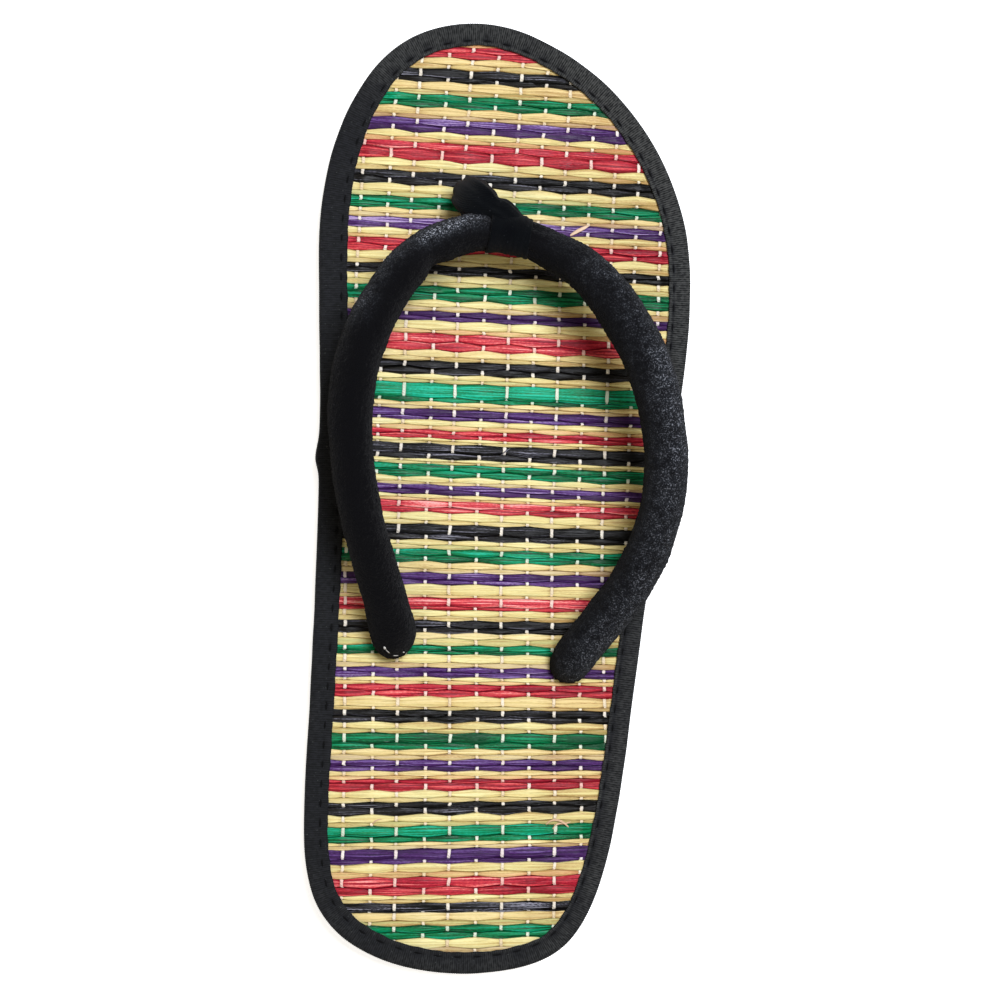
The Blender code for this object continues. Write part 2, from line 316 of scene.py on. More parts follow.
def make_foam_finish():
    """Black closed-cell foam: matt, with fine cells, paler where it is scuffed or dusty."""
    made, tree = new_finish("eva_foam_black", 0.8, specular_ior_level=0.35)
    parts = lint_parts(tree, 0.35, 18.0)
    place = put(tree, "TexCoord").outputs["Object"]
    cells = put(tree, "TexVoronoi", {"Vector": place, "Scale": 1600.0}).outputs["Distance"]
    base = coats(tree, (24, 24, 26), (parts["Mottle"], (36, 36, 38)),
                 (parts["Lint"], (70, 70, 72)))
    height = sum_up(tree, "ADD", cells, parts["Grain"])
    return dress(made, base_color=base, normal=bumps(tree, height, 0.05),
                 roughness=sum_up(tree, "MULTIPLY_ADD", parts["Grain"], 0.12, 0.72))


def ring_numbers(rows, count, first=0):
    """Numbers of the points of some rings, one ring a row."""
    return first + np.arange(rows * count).reshape(rows, count)


def wall_quads(index):
    """Quads between neighbouring rings of points."""
    ahead = np.roll(index, -1, axis=1)
    return np.stack((index[:-1], ahead[:-1], ahead[1:], index[1:]), axis=-1).reshape(-1, 4)


def sole_layer(name, levels, finish, crease=None):
    """A solid between stacked rings, each (count, 3), whose points k and count - k lie across.

    The side is quads between neighbouring rings; top and bottom are rungs from side to side.
    """
    levels = np.asarray(levels)
    rows, count = levels.shape[:2]
    last = count // 2
    k = np.arange(1, last - 1)
    rungs = np.stack((k, k + 1, count - k - 1, count - k), axis=-1)
    tips = np.array(((0, 1, count - 1), (last - 1, last, last + 1)))
    top = (rows - 1) * count
    faces = [wall_quads(ring_numbers(rows, count)), top + rungs, rungs[:, ::-1], top + tips,
             tips[:, ::-1]]
    return add_mesh(name, levels.reshape(-1, 3), faces, finish, crease=crease)


def both_sides(half_turn):
    """Angles all round the sole from those of one half, so that every point has one across."""
    return np.concatenate((half_turn, -half_turn[-2:0:-1]))


def make_outsole():
    """Foam sheet: softened edges, a faintly hollow cut side, and grooves across the underside.

    The underside's height is a step of GROOVE_DEPTH over each groove, read along y.
    """
    starts = np.concatenate([low + GROOVE_PITCH * np.arange(int((high - low) / GROOVE_PITCH) + 1)
                             for low, high in TREAD_ZONES])
    walls = np.array((-GROOVE_WALL, 0.0, GROOVE_WIDTH, GROOVE_WIDTH + GROOVE_WALL))
    groove_y = (starts[:, None] + walls).ravel()
    groove_z = np.tile((0.0, GROOVE_DEPTH, GROOVE_DEPTH, 0.0), len(starts))
    even = np.linspace(0.0, np.pi, 181)
    groove_turn = np.arccos(-groove_y / HALF_LENGTH)
    clear = np.abs(even[:, None] - groove_turn).min(axis=1) > 0.002
    clear[[0, -1]] = True
    turn = both_sides(np.sort(np.concatenate((even[clear], groove_turn))))
    under = np.interp(-HALF_LENGTH * np.cos(turn), groove_y, groove_z)
    profile = (
        # inset, height, how much of the groove is left at this height
        (OUTSOLE_INSET + SOLE_BEVEL, 0.0, 1.0),
        (OUTSOLE_INSET + 0.25, 0.2, 0.85),
        (OUTSOLE_INSET, 0.8, 0.35),
        (OUTSOLE_INSET + 0.08, 2.4, 0.0),
        (OUTSOLE_INSET + 0.12, 4.6, 0.0),
        (OUTSOLE_INSET + 0.05, 7.0, 0.0),
        (OUTSOLE_INSET + 0.02, 8.1, 0.0),
        (OUTSOLE_INSET + 0.35, OUTSOLE_TOP, 0.0),
    )
    levels = [np.column_stack((sole_edge(turn, inset), height + groove * under))
              for inset, height, groove in profile]
    return sole_layer("outsole_foam", levels, make_foam_finish(), crease=CREASE)


outsole = make_outsole()
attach(outsole, "root")
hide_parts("outsole")

# ----------------------------------------------------------
# Insole board. A thin sheet of pressed fibre and foam that carries the mat; the tape is folded
# round both. It shows only through the strap's holes.


def grained_finish(name, roughness, sizes, relief, under, layers, **constants):
    """A colour under layers that follow Mottle, Grain or Lint, with its grain raised."""
    made, tree = new_finish(name, roughness, **constants)
    parts = lint_parts(tree, *sizes)
    base = coats(tree, under, *[(parts[label], card) for label, card in layers.items()])
    return dress(made, base_color=base, normal=bumps(tree, parts["Grain"], relief))


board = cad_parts["insole_board"]
board.data.materials.clear()
board.data.materials.append(grained_finish(
    "insole_board_buff", 0.9, (0.8, 9.0), 0.08, (196, 186, 166),
    {"Mottle": (176, 164, 140), "Lint": (120, 104, 80)}))

# ----------------------------------------------------------
# Mat backing. A sheet that the weave is pasted on, coloured dark as painted shade that shows in the
# gaps between straws.
# It is thicker at the rim, where the flattened straw runs on under the tape.

MAT_BOTTOM = 11.5
BACKING_TOP = 11.62
MAT_RIM_TOP = 12.2
RIM_INSET = 0.95
TAPE_WIDTH = 5.7
STRAW_UNDER_TAPE = 1.2
DRILL_FACETS = 48
# How much wider the tape lies on the big-toe side, from the heel to the toe
TAPE_EXTRA = ((-120.0, 0.4), (-60.0, 0.5), (0.0, 0.9), (40.0, 1.6), (75.0, 1.6), (110.0, 0.5))

# Holes through the mat: two for the ends of the strap and one for the toe post.
HOLES = (
    # x, y, radius
    (-25.3, -37.0, 4.8),
    (20.5, -41.6, 4.8),
    (-10.2, 78.5, 3.6),
)


def on_big_toe_side(turn):
    """1 along the big-toe side, 0 along the other, and easing over at toe and heel."""
    return np.clip(-2.5 * np.sin(turn), 0.0, 1.0)


def tape_width(turn):
    """Width of the tape on top at each angle, widest beside the ball on the big-toe side."""
    extra_y, extra = np.array(TAPE_EXTRA).T
    wider = np.interp(-HALF_LENGTH * np.cos(turn), extra_y, extra)
    return TAPE_WIDTH + wider * on_big_toe_side(turn)


def ring_angles(count):
    """Angles evenly round a full turn."""
    return 2 * np.pi * np.arange(count) / count


def drill(piece, x, y, radius, bottom, top):
    """Cuts one round hole straight down through a piece."""
    turn = ring_angles(DRILL_FACETS)
    ring = np.stack((x + radius * np.cos(turn), y + radius * np.sin(turn)), axis=-1)
    levels = [np.column_stack((ring, np.full(DRILL_FACETS, height))) for height in (bottom, top)]
    index = ring_numbers(2, DRILL_FACETS)
    faces = [wall_quads(index), index[:1, ::-1], index[1:]]
    cutter = add_mesh("drill", np.concatenate(levels), faces, piece.data.materials[0])
    cut = piece.modifiers.new("Hole", "BOOLEAN")
    cut.operation = "DIFFERENCE"
    cut.solver = "EXACT"
    cut.object = cutter
    graph = bpy.context.evaluated_depsgraph_get()
    result = bpy.data.meshes.new_from_object(piece.evaluated_get(graph))
    piece.modifiers.clear()
    piece.data = result
    bpy.data.objects.remove(cutter)


def make_backing():
    """Sheet with a thick rim that ends under the tape: rings from outside bottom to inside top."""
    turn = both_sides(np.linspace(0.0, np.pi, 161))
    rim = tape_width(turn) - STRAW_UNDER_TAPE - 0.4
    profile = ((RIM_INSET, MAT_BOTTOM), (RIM_INSET, MAT_RIM_TOP), (rim, MAT_RIM_TOP),
               (rim + 0.3, BACKING_TOP))
    levels = [np.column_stack((sole_edge(turn, inset), np.full(len(turn), height)))
              for inset, height in profile]
    # Dark brown: painted shade seen in the gaps between the picks and round the holes
    finish = grained_finish("mat_backing_shade_dark", 0.95, (0.5, 7.0), 0.05, (46, 34, 20),
                            {"Mottle": (74, 56, 32)})
    made = sole_layer("mat_backing", levels, finish, crease=CREASE)
    for x, y, radius in HOLES:
        drill(made, x, y, radius, 5.0, 20.0)
    made.data.shade_smooth()
    made.data.set_sharp_from_angle(angle=np.radians(CREASE))
    return made


backing = make_backing()
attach(backing, "root")
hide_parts("straw_mat")

# ----------------------------------------------------------
# Straw picks. Flat split straws, dyed or natural, laid side by side from edge to edge. Each is
# pinched where a warp thread crosses over it and swells up where the thread runs under it, and
# neighbours take turns. Every stripe and every gap between stripes is two picks.

# Warp threads: x of each at the waist, with one more beyond the sole on either side
WARPS = (-44.6, -38.2, -31.1, -25.0, -17.8, -11.7, -4.8, 1.7, 8.4, 14.8, 21.5, 27.9, 34.2, 40.7,
         47.2)

# The weave is pasted on a little askew: slope of the rows at each y
ROW_SLOPES = (
    (-110.0, 0.038),
    (-85.0, 0.046),
    (-60.0, 0.026),
    (-20.0, 0.020),
    (0.0, 0.003),
    (30.0, 0.006),
    (65.0, 0.005),
    (90.0, -0.008),
    (110.0, 0.000),
)

# How far the warps wander towards the little toe at each y, and how much they spread apart
WARP_DRIFT = (
    # y, shift, spread
    (-118.0, 4.40, 0.038),
    (-85.0, 3.60, 0.031),
    (-55.0, 2.30, 0.020),
    (-30.0, 0.80, 0.008),
    (-5.0, -0.05, 0.000),
    (30.0, 0.00, 0.000),
    (60.0, -0.40, -0.006),
    (85.0, -0.15, -0.012),
    (106.0, 0.30, -0.019),
    (118.0, 0.80, -0.022),
)

# Stripes from toe to heel; red, black, green and purple take turns. Shade goes from dark to pale.
STRIPES = (
    # top edge y, upper pick, lower pick, upper shade, lower shade, upper share of the gap below
    (116.3, 1.5, 1.5, 0.50, 0.30, 0.58),
    (110.4, 2.2, 1.2, 0.60, 0.30, 0.65),
    (103.7, 1.7, 1.6, 0.60, 0.35, 0.66),
    (97.4, 1.7, 1.7, 0.85, 0.30, 0.58),
    (91.3, 1.8, 2.8, 0.65, 0.45, 0.62),
    (83.7, 1.7, 1.7, 0.30, 0.40, 0.65),
    (77.2, 1.6, 1.4, 0.50, 0.35, 0.58),
    (71.9, 1.4, 1.4, 1.20, 0.60, 0.65),
    (66.5, 1.7, 1.6, 0.55, 0.40, 0.65),
    (60.0, 1.3, 1.2, 0.10, 0.20, 0.60),
    (54.6, 1.6, 2.0, 0.35, 0.30, 0.58),
    (48.1, 1.3, 1.1, 0.20, 0.15, 0.68),
    (42.4, 2.3, 2.0, 0.60, 0.70, 0.62),
    (35.3, 1.8, 1.7, 0.05, 0.15, 0.58),
    (29.6, 3.8, 1.0, 1.05, 0.35, 0.55),
    (22.9, 1.9, 0.9, 0.35, 0.55, 0.56),
    (17.5, 1.1, 1.1, 0.55, 0.70, 0.50),
    (13.9, 2.4, 1.5, 0.45, 0.35, 0.52),
    (8.6, 1.6, 1.6, 0.65, 0.45, 0.62),
    (3.3, 1.3, 1.2, 0.75, 0.10, 0.55),
    (-0.8, 1.7, 1.3, 0.90, 0.40, 0.66),
    (-6.8, 2.6, 1.4, 0.10, 0.35, 0.55),
    (-13.1, 1.7, 1.6, 0.70, 0.35, 0.60),
    (-19.1, 1.8, 1.2, 0.35, 0.70, 0.78),
    (-25.5, 2.3, 0.9, 0.90, 0.25, 0.60),
    (-31.4, 1.9, 1.3, 0.15, 0.25, 0.46),
    (-37.8, 1.4, 0.9, 0.45, 0.20, 0.65),
    (-43.5, 1.2, 1.3, 0.60, 0.45, 0.52),
    (-47.8, 1.6, 1.6, 0.30, 0.45, 0.76),
    (-54.4, 1.7, 1.5, 0.10, 0.25, 0.60),
    (-60.4, 2.5, 1.6, 0.10, 0.25, 0.52),
    (-67.2, 1.5, 1.3, 0.50, 0.30, 0.58),
    (-72.1, 1.0, 1.9, 0.05, 0.30, 0.62),
    (-77.9, 1.3, 1.9, 0.20, 0.25, 0.64),
    (-84.0, 2.7, 1.4, 0.80, 0.35, 0.50),
    (-89.9, 2.7, 1.1, 0.25, 0.40, 0.62),
    (-97.3, 2.6, 2.0, 0.55, 0.35, 0.55),
    (-103.9, 2.1, 0.4, 0.60, 0.60, 0.63),
    (-109.8, 1.7, 1.7, 0.60, 0.40, 0.60),
)
DYES = ("red", "black", "green", "purple")
FIRST_EDGE = 119.0
FIRST_SHARE = 0.55
LAST_EDGE = -117.2

PICK_BASE = 11.75
PICK_MIDDLE_TOP = 12.57
PICK_SWING = 0.20
PICK_GAP = -0.005
THREAD_GAP = 0.085
THREAD_GAP_REACH = 0.85
PINCH_SHARE = 0.17
PINCH_LEAST = 0.03
PINCH_REACH = 0.95
# How much darker the straw is painted beside a thread crossing over it: painted shade
PINCH_PAINTED_SHADE = 0.35
WARP_PITCH = 6.6
STEPS_PER_WARP = 9
PRESSED_WIDTH = 2.6
PRESSED_SHARE = 0.42
DIP_WIDTH = 1.3
DIP_SHARE = 0.45
# Painted shade: the straw is made a little deeper in tone on the little-toe side and at the toe,
# where less light falls
PAINTED_SHADE_SIDE = 0.35
PAINTED_SHADE_TOE = 0.16
# Natural straw is palest near the shoe's middle: where, how far that reaches, and how much
PALE_PLACE = 5.0
PALE_REACH = 45.0
PALE_SHADE = 0.16

# Across a pick, from its toe side to its heel side
PICK_SECTION = (
    # share of the width, step in, share of the height, how near the rim, where painted shade goes
    (0.00, 0.00, 0.00, 1.0),
    (0.00, 0.03, 0.62, 1.0),
    (0.10, 0.00, 0.88, 0.15),
    (0.30, 0.00, 0.97, 0.0),
    (0.50, 0.00, 1.00, 0.0),
    (0.70, 0.00, 0.97, 0.0),
    (0.90, 0.00, 0.88, 0.15),
    (1.00, -0.03, 0.62, 1.0),
    (1.00, 0.00, 0.00, 1.0),
)
BLADES = 5
BLADE_RIDGE = 0.06
SHADE_DRIFT = 0.10
PICK_LEAN = 0.05
PUSH_WANDER = 0.035

# Dye that has rubbed off on the natural picks next to it, and bare straw that shows through a dye
STAINS = {
    "red": (216, 104, 96),
    "black": (160, 140, 100),
    "green": (110, 160, 100),
    "purple": (150, 116, 140),
}
BARE_STRAW = (150, 128, 84)
FRESH_STRAW = (232, 226, 158)
RIPE_STRAW = (238, 204, 150)
FRESH_SHARE = 0.6
BARE_SHARE = {"red": 0.03, "black": 0.01, "green": 0.01, "purple": 0.02}

chance = np.random.default_rng(11)


def bell(away, reach):
    """exp(-(away / reach)^2): 1 in the middle and fading on either side."""
    return np.exp(-(away / reach) ** 2)


def stain_of(card, share):
    """A colour with the share of it that shows."""
    return (*colour(*card)[:3], share)


def lay_out_picks():
    """Edges of the picks at x = 0 from toe to heel, and the dye, shade and tint of each pick.

    The upper natural pick of a gap is tinted as fresh or as ripe straw, and the lower one takes a
    stain from the stripe below it. The lower pick of a stripe is thinly dyed, so that bare straw
    shows through. Natural straw is palest about PALE_PLACE: exp(-(way from there / reach)^2).
    """
    gap_ends = [stripe[0] for stripe in STRIPES[1:]] + [LAST_EDGE]
    edges = [FIRST_EDGE, FIRST_EDGE - FIRST_SHARE * (FIRST_EDGE - STRIPES[0][0])]
    dyes, shades = ["natural", "natural"], [0.6, 0.4]
    tints = [stain_of(BARE_STRAW, 0.0), stain_of(STAINS["red"], 0.3)]
    for number, (top, upper, lower, upper_shade, lower_shade, share) in enumerate(STRIPES):
        end = top - upper - lower
        edges += [top, top - upper, end, end - share * (end - gap_ends[number])]
        dyes += [DYES[number % 4]] * 2 + ["natural"] * 2
        paler = PALE_SHADE * bell(top - PALE_PLACE, PALE_REACH)
        # The lower natural pick of each gap is darker than the upper, in part as painted shade from
        # the gaps round the narrower pick
        shades += [upper_shade, lower_shade,
                   0.66 + paler + chance.uniform(-0.12, 0.12),
                   0.42 + paler + chance.uniform(-0.14, 0.14)]
        below = STAINS[DYES[(number + 1) % 4]]
        thin = BARE_SHARE[DYES[number % 4]]
        hue = FRESH_STRAW if chance.random() < FRESH_SHARE else RIPE_STRAW
        tints += [stain_of(BARE_STRAW, 0.2 * thin), stain_of(BARE_STRAW, thin),
                  stain_of(hue, 0.22), stain_of(below, 0.20)]
    return np.array(edges + [LAST_EDGE]), np.array(dyes), np.array(shades), np.array(tints)


pick_edges, pick_dyes, pick_shades, pick_tints = lay_out_picks()
PICKS = len(pick_dyes)
slope_y, slope_there = np.array(ROW_SLOPES).T
drift_y, drift_shift, drift_spread = np.array(WARP_DRIFT).T
warp_number = np.arange(len(WARPS))

# Where a thread passes over a pick: 1, and where it passes under: -1
thread_over = np.where((np.arange(PICKS)[:, None] + warp_number) % 2 == 1, 1.0, -1.0)

# How far each edge between picks is pushed aside at each warp, towards the toe
least_width = np.minimum(-np.diff(pick_edges)[:-1], -np.diff(pick_edges)[1:])
edge_push = PINCH_LEAST + PINCH_SHARE * least_width[:, None]
edge_push = -edge_push * thread_over[1:] * chance.uniform(0.75, 1.25, (PICKS - 1, len(WARPS)))
edge_push += chance.normal(0.0, PUSH_WANDER, edge_push.shape)
edge_push = np.pad(edge_push, ((1, 1), (0, 0)))


def weave_x(warp, y):
    """x at a place counted in warp threads: their spacing at the waist, wandering with y."""
    at_waist = np.interp(warp, warp_number, WARPS)
    spread = 1 + np.interp(y, drift_y, drift_spread)
    return at_waist * spread + np.interp(y, drift_y, drift_shift)


def edge_y(edge, warp, x):
    """y of an edge between picks: its place at x = 0, the rows' slope, and a kink at each warp."""
    start = pick_edges[edge]
    slope = np.interp(start, slope_y, slope_there)
    return start + slope * x + np.interp(warp, warp_number, edge_push[edge])


# Inner edge of the tape, and the way square to it towards the middle
tape_turn = np.linspace(-np.pi, np.pi, 501)[:-1]
tape_inner = sole_edge(tape_turn, tape_width(tape_turn))
tape_ahead = np.roll(tape_inner, -1, axis=0) - np.roll(tape_inner, 1, axis=0)
tape_inward = unit(np.stack((-tape_ahead[:, 1], tape_ahead[:, 0]), axis=-1))


def smooth_step(value):
    """0 below 0, 1 above 1, and an even ease between: 3 v^2 - 2 v^3."""
    value = np.clip(value, 0.0, 1.0)
    return value * value * (3 - 2 * value)


def press_down(points):
    """Flattens the weave where the tape holds it and where it dips round the holes.

    Heights above the backing shrink by a share that fades out over PRESSED_WIDTH inside the
    tape's edge, and over DIP_WIDTH round each hole.
    """
    flat = points.reshape(-1, 3)
    away = flat[:, None, :2] - tape_inner
    nearest = np.square(away).sum(axis=-1).argmin(axis=1)
    inside = (away[np.arange(len(flat)), nearest] * tape_inward[nearest]).sum(axis=-1)
    squeeze = PRESSED_SHARE * (1 - smooth_step(inside / PRESSED_WIDTH))
    for x, y, radius in HOLES:
        clear = np.hypot(flat[:, 0] - x, flat[:, 1] - y) - radius
        squeeze = np.maximum(squeeze, DIP_SHARE * np.exp(-np.maximum(clear, 0.0) / DIP_WIDTH))
    pressed = flat.copy()
    pressed[:, 2] = BACKING_TOP + (flat[:, 2] - BACKING_TOP) * (1 - squeeze)
    return pressed.reshape(points.shape)


def straw_edge(side, count):
    """Points where the straw ends under the tape, on the big-toe side (-1) or the other (1)."""
    turn = side * np.linspace(0.0, np.pi, count)
    return sole_edge(turn, tape_width(turn) - STRAW_UNDER_TAPE)


def field_ends(y, slope):
    """x where a row starts and ends, a little way under the tape on either side, or None."""
    ends = []
    for side in (-1.0, 1.0):
        edge = straw_edge(side, 400)
        if not edge[0, 1] < y < edge[-1, 1]:
            return None
        x = np.interp(y, edge[:, 1], edge[:, 0])
        ends.append(np.interp(y + slope * x, edge[:, 1], edge[:, 0]))
    return ends if ends[1] - ends[0] > 2.0 else None


def hole_blocks(misses, centres, least):
    """What the holes take out of a line that misses their middles: the low and high end of each."""
    half = np.array(HOLES)[:, 2] ** 2 - misses ** 2
    return [(centre - np.sqrt(reach), centre + np.sqrt(reach))
            for centre, reach in zip(centres, half) if reach > least]


def clear_spans(start, end, blocks, least=0.6):
    """What is left of start to end when the blocks, each a low and a high, are taken out."""
    spans = []
    for low, high in sorted(blocks):
        if low > start + least:
            spans.append((start, min(low, end)))
        start = max(start, high)
    if end > start + least:
        spans.append((start, end))
    return spans


def pattern_places(along, across):
    """The pattern's place at each point of some rings, and at the corners of their walls."""
    place = np.stack(np.broadcast_arrays(along[:, None], across[None]), axis=-1)
    corners = (place[:-1, :-1], place[:-1, 1:], place[1:, 1:], place[1:, :-1])
    return place, np.stack(corners, axis=2).reshape(-1, 2)


def join_tubes(name, tubes, finish, crease=None):
    """One mesh from many closed tubes that share a ring size.

    Each tube is (rings, along, across, shade, tint): rings is (rows, ring, 3), along gives the
    pattern's x of each row, across its y round the ring, shade one number for each point, tint
    one colour with its share, or one for each point, and rim, if it is there, how near the edge
    each point lies. Quads join neighbouring rings, and one face closes each end.
    """
    points, walls, caps, wall_uv, cap_uv, shades, tints, rims = [], [], [], [], [], [], [], []
    first = 0
    for rings, along, across, shade, tint, *rim in tubes:
        rows, ring = rings.shape[:2]
        index = ring_numbers(rows, ring, first)
        walls.append(wall_quads(index))
        place, corners = pattern_places(along, across)
        wall_uv.append(corners)
        caps += [index[:1, ::-1], index[-1:]]
        cap_uv += [place[0, :-1][::-1], place[-1, :-1]]
        points.append(rings.reshape(-1, 3))
        shades.append(np.broadcast_to(shade, (rows, ring)).ravel())
        tints.append(np.broadcast_to(tint, (rows * ring, 4)))
        rims += [np.broadcast_to(near, (rows, ring)).ravel() for near in rim]
        first += rows * ring
    return add_mesh(name, np.concatenate(points), walls + caps, finish,
                    uv=np.concatenate(wall_uv + cap_uv), shade=np.concatenate(shades),
                    tint=np.concatenate(tints), rim=np.concatenate(rims) if rims else None,
                    crease=crease)


def pick_tubes(pick):
    """The tubes of one pick: one from tape to tape, or one on either side of a hole.

    Height above the base follows the section times a wave that peaks over every second warp.
    Small ridges, drawn afresh for each half cell, are the blades that make up the straw.
    """
    middle = (pick_edges[pick] + pick_edges[pick + 1]) / 2
    slope = np.interp(middle, slope_y, slope_there)
    ends = field_ends(middle, slope)
    ridges = chance.normal(0.0, BLADE_RIDGE, (2 * len(WARPS), BLADES))
    drift = chance.normal(0.0, SHADE_DRIFT, len(WARPS))
    lean = chance.normal(0.0, PICK_LEAN)
    if ends is None:
        return []
    hole_x, hole_y = np.array(HOLES).T[:2]
    blocks = hole_blocks(middle + slope * hole_x - hole_y, hole_x, 0.8)
    grid = np.arange((len(WARPS) - 1) * STEPS_PER_WARP + 1) / STEPS_PER_WARP
    grid_x = weave_x(grid, middle)
    tubes = []
    for start, end in clear_spans(*ends, blocks):
        inside = grid[(grid_x > start + 0.1) & (grid_x < end - 0.1)]
        warp = np.concatenate(([np.interp(start, grid_x, grid)], inside,
                               [np.interp(end, grid_x, grid)]))
        x = weave_x(warp, middle)
        from_thread = np.abs(warp - np.round(warp)) * WARP_PITCH
        gap = PICK_GAP + THREAD_GAP * bell(from_thread, THREAD_GAP_REACH)
        toe_side = edge_y(pick, warp, x) - gap
        heel_side = edge_y(pick + 1, warp, x) + gap
        share, step, height, near_rim = np.array(PICK_SECTION).T
        y = toe_side[:, None] + (heel_side - toe_side)[:, None] * share - step
        swell = np.interp(warp, warp_number, -thread_over[pick])
        swell = np.sin(swell * np.pi / 2)[:, None] * PICK_SWING
        base = PICK_BASE + 0.10 + 0.6 * swell
        top = PICK_MIDDLE_TOP + swell + lean * (share - 0.5)
        z = base + (top - base) * height
        half_cells = np.arange(2 * len(WARPS)) / 2
        for blade in range(BLADES):
            z[:, 2 + blade] += np.interp(warp, half_cells, ridges[:, blade])
        rings = np.stack((np.broadcast_to(x[:, None], y.shape), y, z), axis=-1)
        # Painted shade: the straw is darkened beside each thread that passes over it
        nearest = thread_over[pick, np.round(warp).astype(int)]
        pinch_shade_mask = np.where(nearest > 0, bell(from_thread, PINCH_REACH), 0.0)
        shade = pick_shades[pick] + np.interp(warp, warp_number, drift) - PINCH_PAINTED_SHADE * pinch_shade_mask
        # Painted shade towards the little-toe side and the toe
        shade = shade - PAINTED_SHADE_SIDE * smooth_step((x - 6.0) / 20.0)
        shade = shade - PAINTED_SHADE_TOE * smooth_step((middle - 70.0) / 35.0)
        wide = pick_edges[pick] - pick_edges[pick + 1]
        across = 7.0 * pick + wide * np.append(share, 1.0)
        tubes.append((press_down(rings), x, across, shade[:, None], pick_tints[pick], near_rim))
    return tubes


def make_straw_group():
    """Streaks of a split straw, in the pattern's own millimetres along the straw and across it.

    Streak is the tone of the blades that make it up, Vein the fine lines in them with specks of
    peeled skin, Fold thin creases from pinch to pinch, which the finish darkens as painted shade,
    and Height the relief of them all.
    """
    tree, given, result = new_group(
        "straw_fibre", (("Place", "Vector", None),), ("Streak", "Vein", "Fold", "Height"))
    apart = put(tree, "SeparateXYZ", {0: given.outputs["Place"]})
    along, across = apart.outputs[0], apart.outputs[1]

    def stretched(along_scale, across_scale, shift):
        """The pattern's place, drawn out along the straw."""
        u = sum_up(tree, "MULTIPLY", along, along_scale)
        v = sum_up(tree, "MULTIPLY_ADD", across, across_scale, shift)
        return put(tree, "CombineXYZ", {0: u, 1: v}).outputs[0]

    streak = noise(tree, stretched(0.04, 1.9, 0.0), 1.0, 1.0, 0.5)
    vein = noise(tree, stretched(0.05, 4.4, 31.0), 1.0, 1.0, 0.5)
    peel = noise(tree, stretched(1.1, 4.6, 53.0), 1.0, 2.0, 0.6)
    vein = sum_up(tree, "MULTIPLY_ADD", sum_up(tree, "SUBTRACT", peel, 0.5), 0.55, vein)
    fold = noise(tree, stretched(0.06, 2.4, 77.0), 1.0, 1.0, 0.4)
    fold = sum_up(tree, "ABSOLUTE", sum_up(tree, "SUBTRACT", fold, 0.5))
    fold = step_between(tree, fold, 0.0, 0.018, 1.0, 0.0)
    height = sum_up(tree, "MULTIPLY_ADD", vein, 0.9, sum_up(tree, "MULTIPLY", streak, 0.8))
    height = sum_up(tree, "SUBTRACT", height, sum_up(tree, "MULTIPLY", fold, 0.3))
    outputs = (("Streak", step_between(tree, streak, 0.34, 0.66)),
               ("Vein", step_between(tree, vein, 0.34, 0.66)),
               ("Fold", fold), ("Height", height))
    for label, value in outputs:
        tree.links.new(value, result.inputs[label])
    return tree


straw_fibre = make_straw_group()


def attribute(tree, name):
    """Outputs of a named attribute of the mesh."""
    return put(tree, "Attribute", attribute_name=name).outputs


def make_straw_finish(name, dark, middle, pale, glint, contrast, rim_shadow):
    """A straw of one dye: tones follow shade and streaks up to a painted glint; rims and creases
    get painted shade.
    """
    made, tree = new_finish(name, 0.40, specular_ior_level=0.15)
    place = put(tree, "UVMap", uv_map="fibre").outputs[0]
    parts = put(tree, "Group", {"Place": place}, node_tree=straw_fibre).outputs
    stain = attribute(tree, "tint")
    tone = sum_up(tree, "MULTIPLY_ADD", parts["Streak"], contrast, -contrast / 2)
    tone = sum_up(tree, "ADD", tone, attribute(tree, "shade")["Fac"])
    tone = sum_up(tree, "MULTIPLY_ADD", parts["Vein"], contrast,
                  sum_up(tree, "ADD", tone, -contrast / 2))
    # The brightest tones blend to the glint colour: a painted highlight along the streaks
    base = coats(tree, dark, (step_between(tree, tone, -0.1, 0.5), middle),
                 (step_between(tree, tone, 0.5, 1.1), pale),
                 (step_between(tree, tone, 1.0, 1.7), glint))
    soaked = sum_up(tree, "MULTIPLY_ADD", parts["Streak"], 1.4, 0.3)
    soaked = sum_up(tree, "MULTIPLY", soaked, stain["Alpha"], clamp=True)
    base = blend_colours(tree, soaked, base, stain["Color"])
    # Painted shade: rims between picks and fold creases darkened towards a quarter of the dark tone
    near_rim = sum_up(tree, "POWER", attribute(tree, "rim")["Fac"], 2.0)
    shadow = sum_up(tree, "MULTIPLY", parts["Fold"], 0.22)
    shadow = sum_up(tree, "MULTIPLY_ADD", near_rim, rim_shadow, shadow, clamp=True)
    deepest = tuple(0.25 * value for value in colour(*dark)[:3]) + (1.0,)
    base = blend_colours(tree, shadow, base, deepest)
    return dress(made, base_color=base, normal=bumps(tree, parts["Height"], 0.12),
                 roughness=sum_up(tree, "MULTIPLY_ADD", parts["Streak"], 0.14, 0.32))


STRAW_DYES = {
    # dye: dark, middle, pale and glint (a painted highlight), contrast, how dark the painted rim
    # shade is
    "natural": ((178, 142, 84), (218, 198, 132), (236, 224, 164), (250, 246, 214), 0.46, 0.14),
    "red": ((128, 12, 32), (188, 38, 58), (224, 82, 84), (250, 174, 168), 0.95, 0.46),
    "black": ((4, 4, 4), (16, 15, 15), (46, 46, 54), (138, 138, 152), 1.25, 0.55),
    "green": ((0, 66, 36), (0, 118, 68), (0, 148, 106), (30, 192, 156), 0.95, 0.42),
    "purple": ((46, 18, 66), (74, 36, 98), (104, 76, 142), (184, 160, 204), 0.95, 0.42),
    "loose_tan": ((168, 126, 98), (212, 176, 142), (230, 200, 172), (246, 232, 214), 0.46, 0.14),
}
straw_finishes = {dye: make_straw_finish("straw_" + dye, *look) for dye, look in STRAW_DYES.items()}
straw_tubes = [pick_tubes(pick) for pick in range(PICKS)]
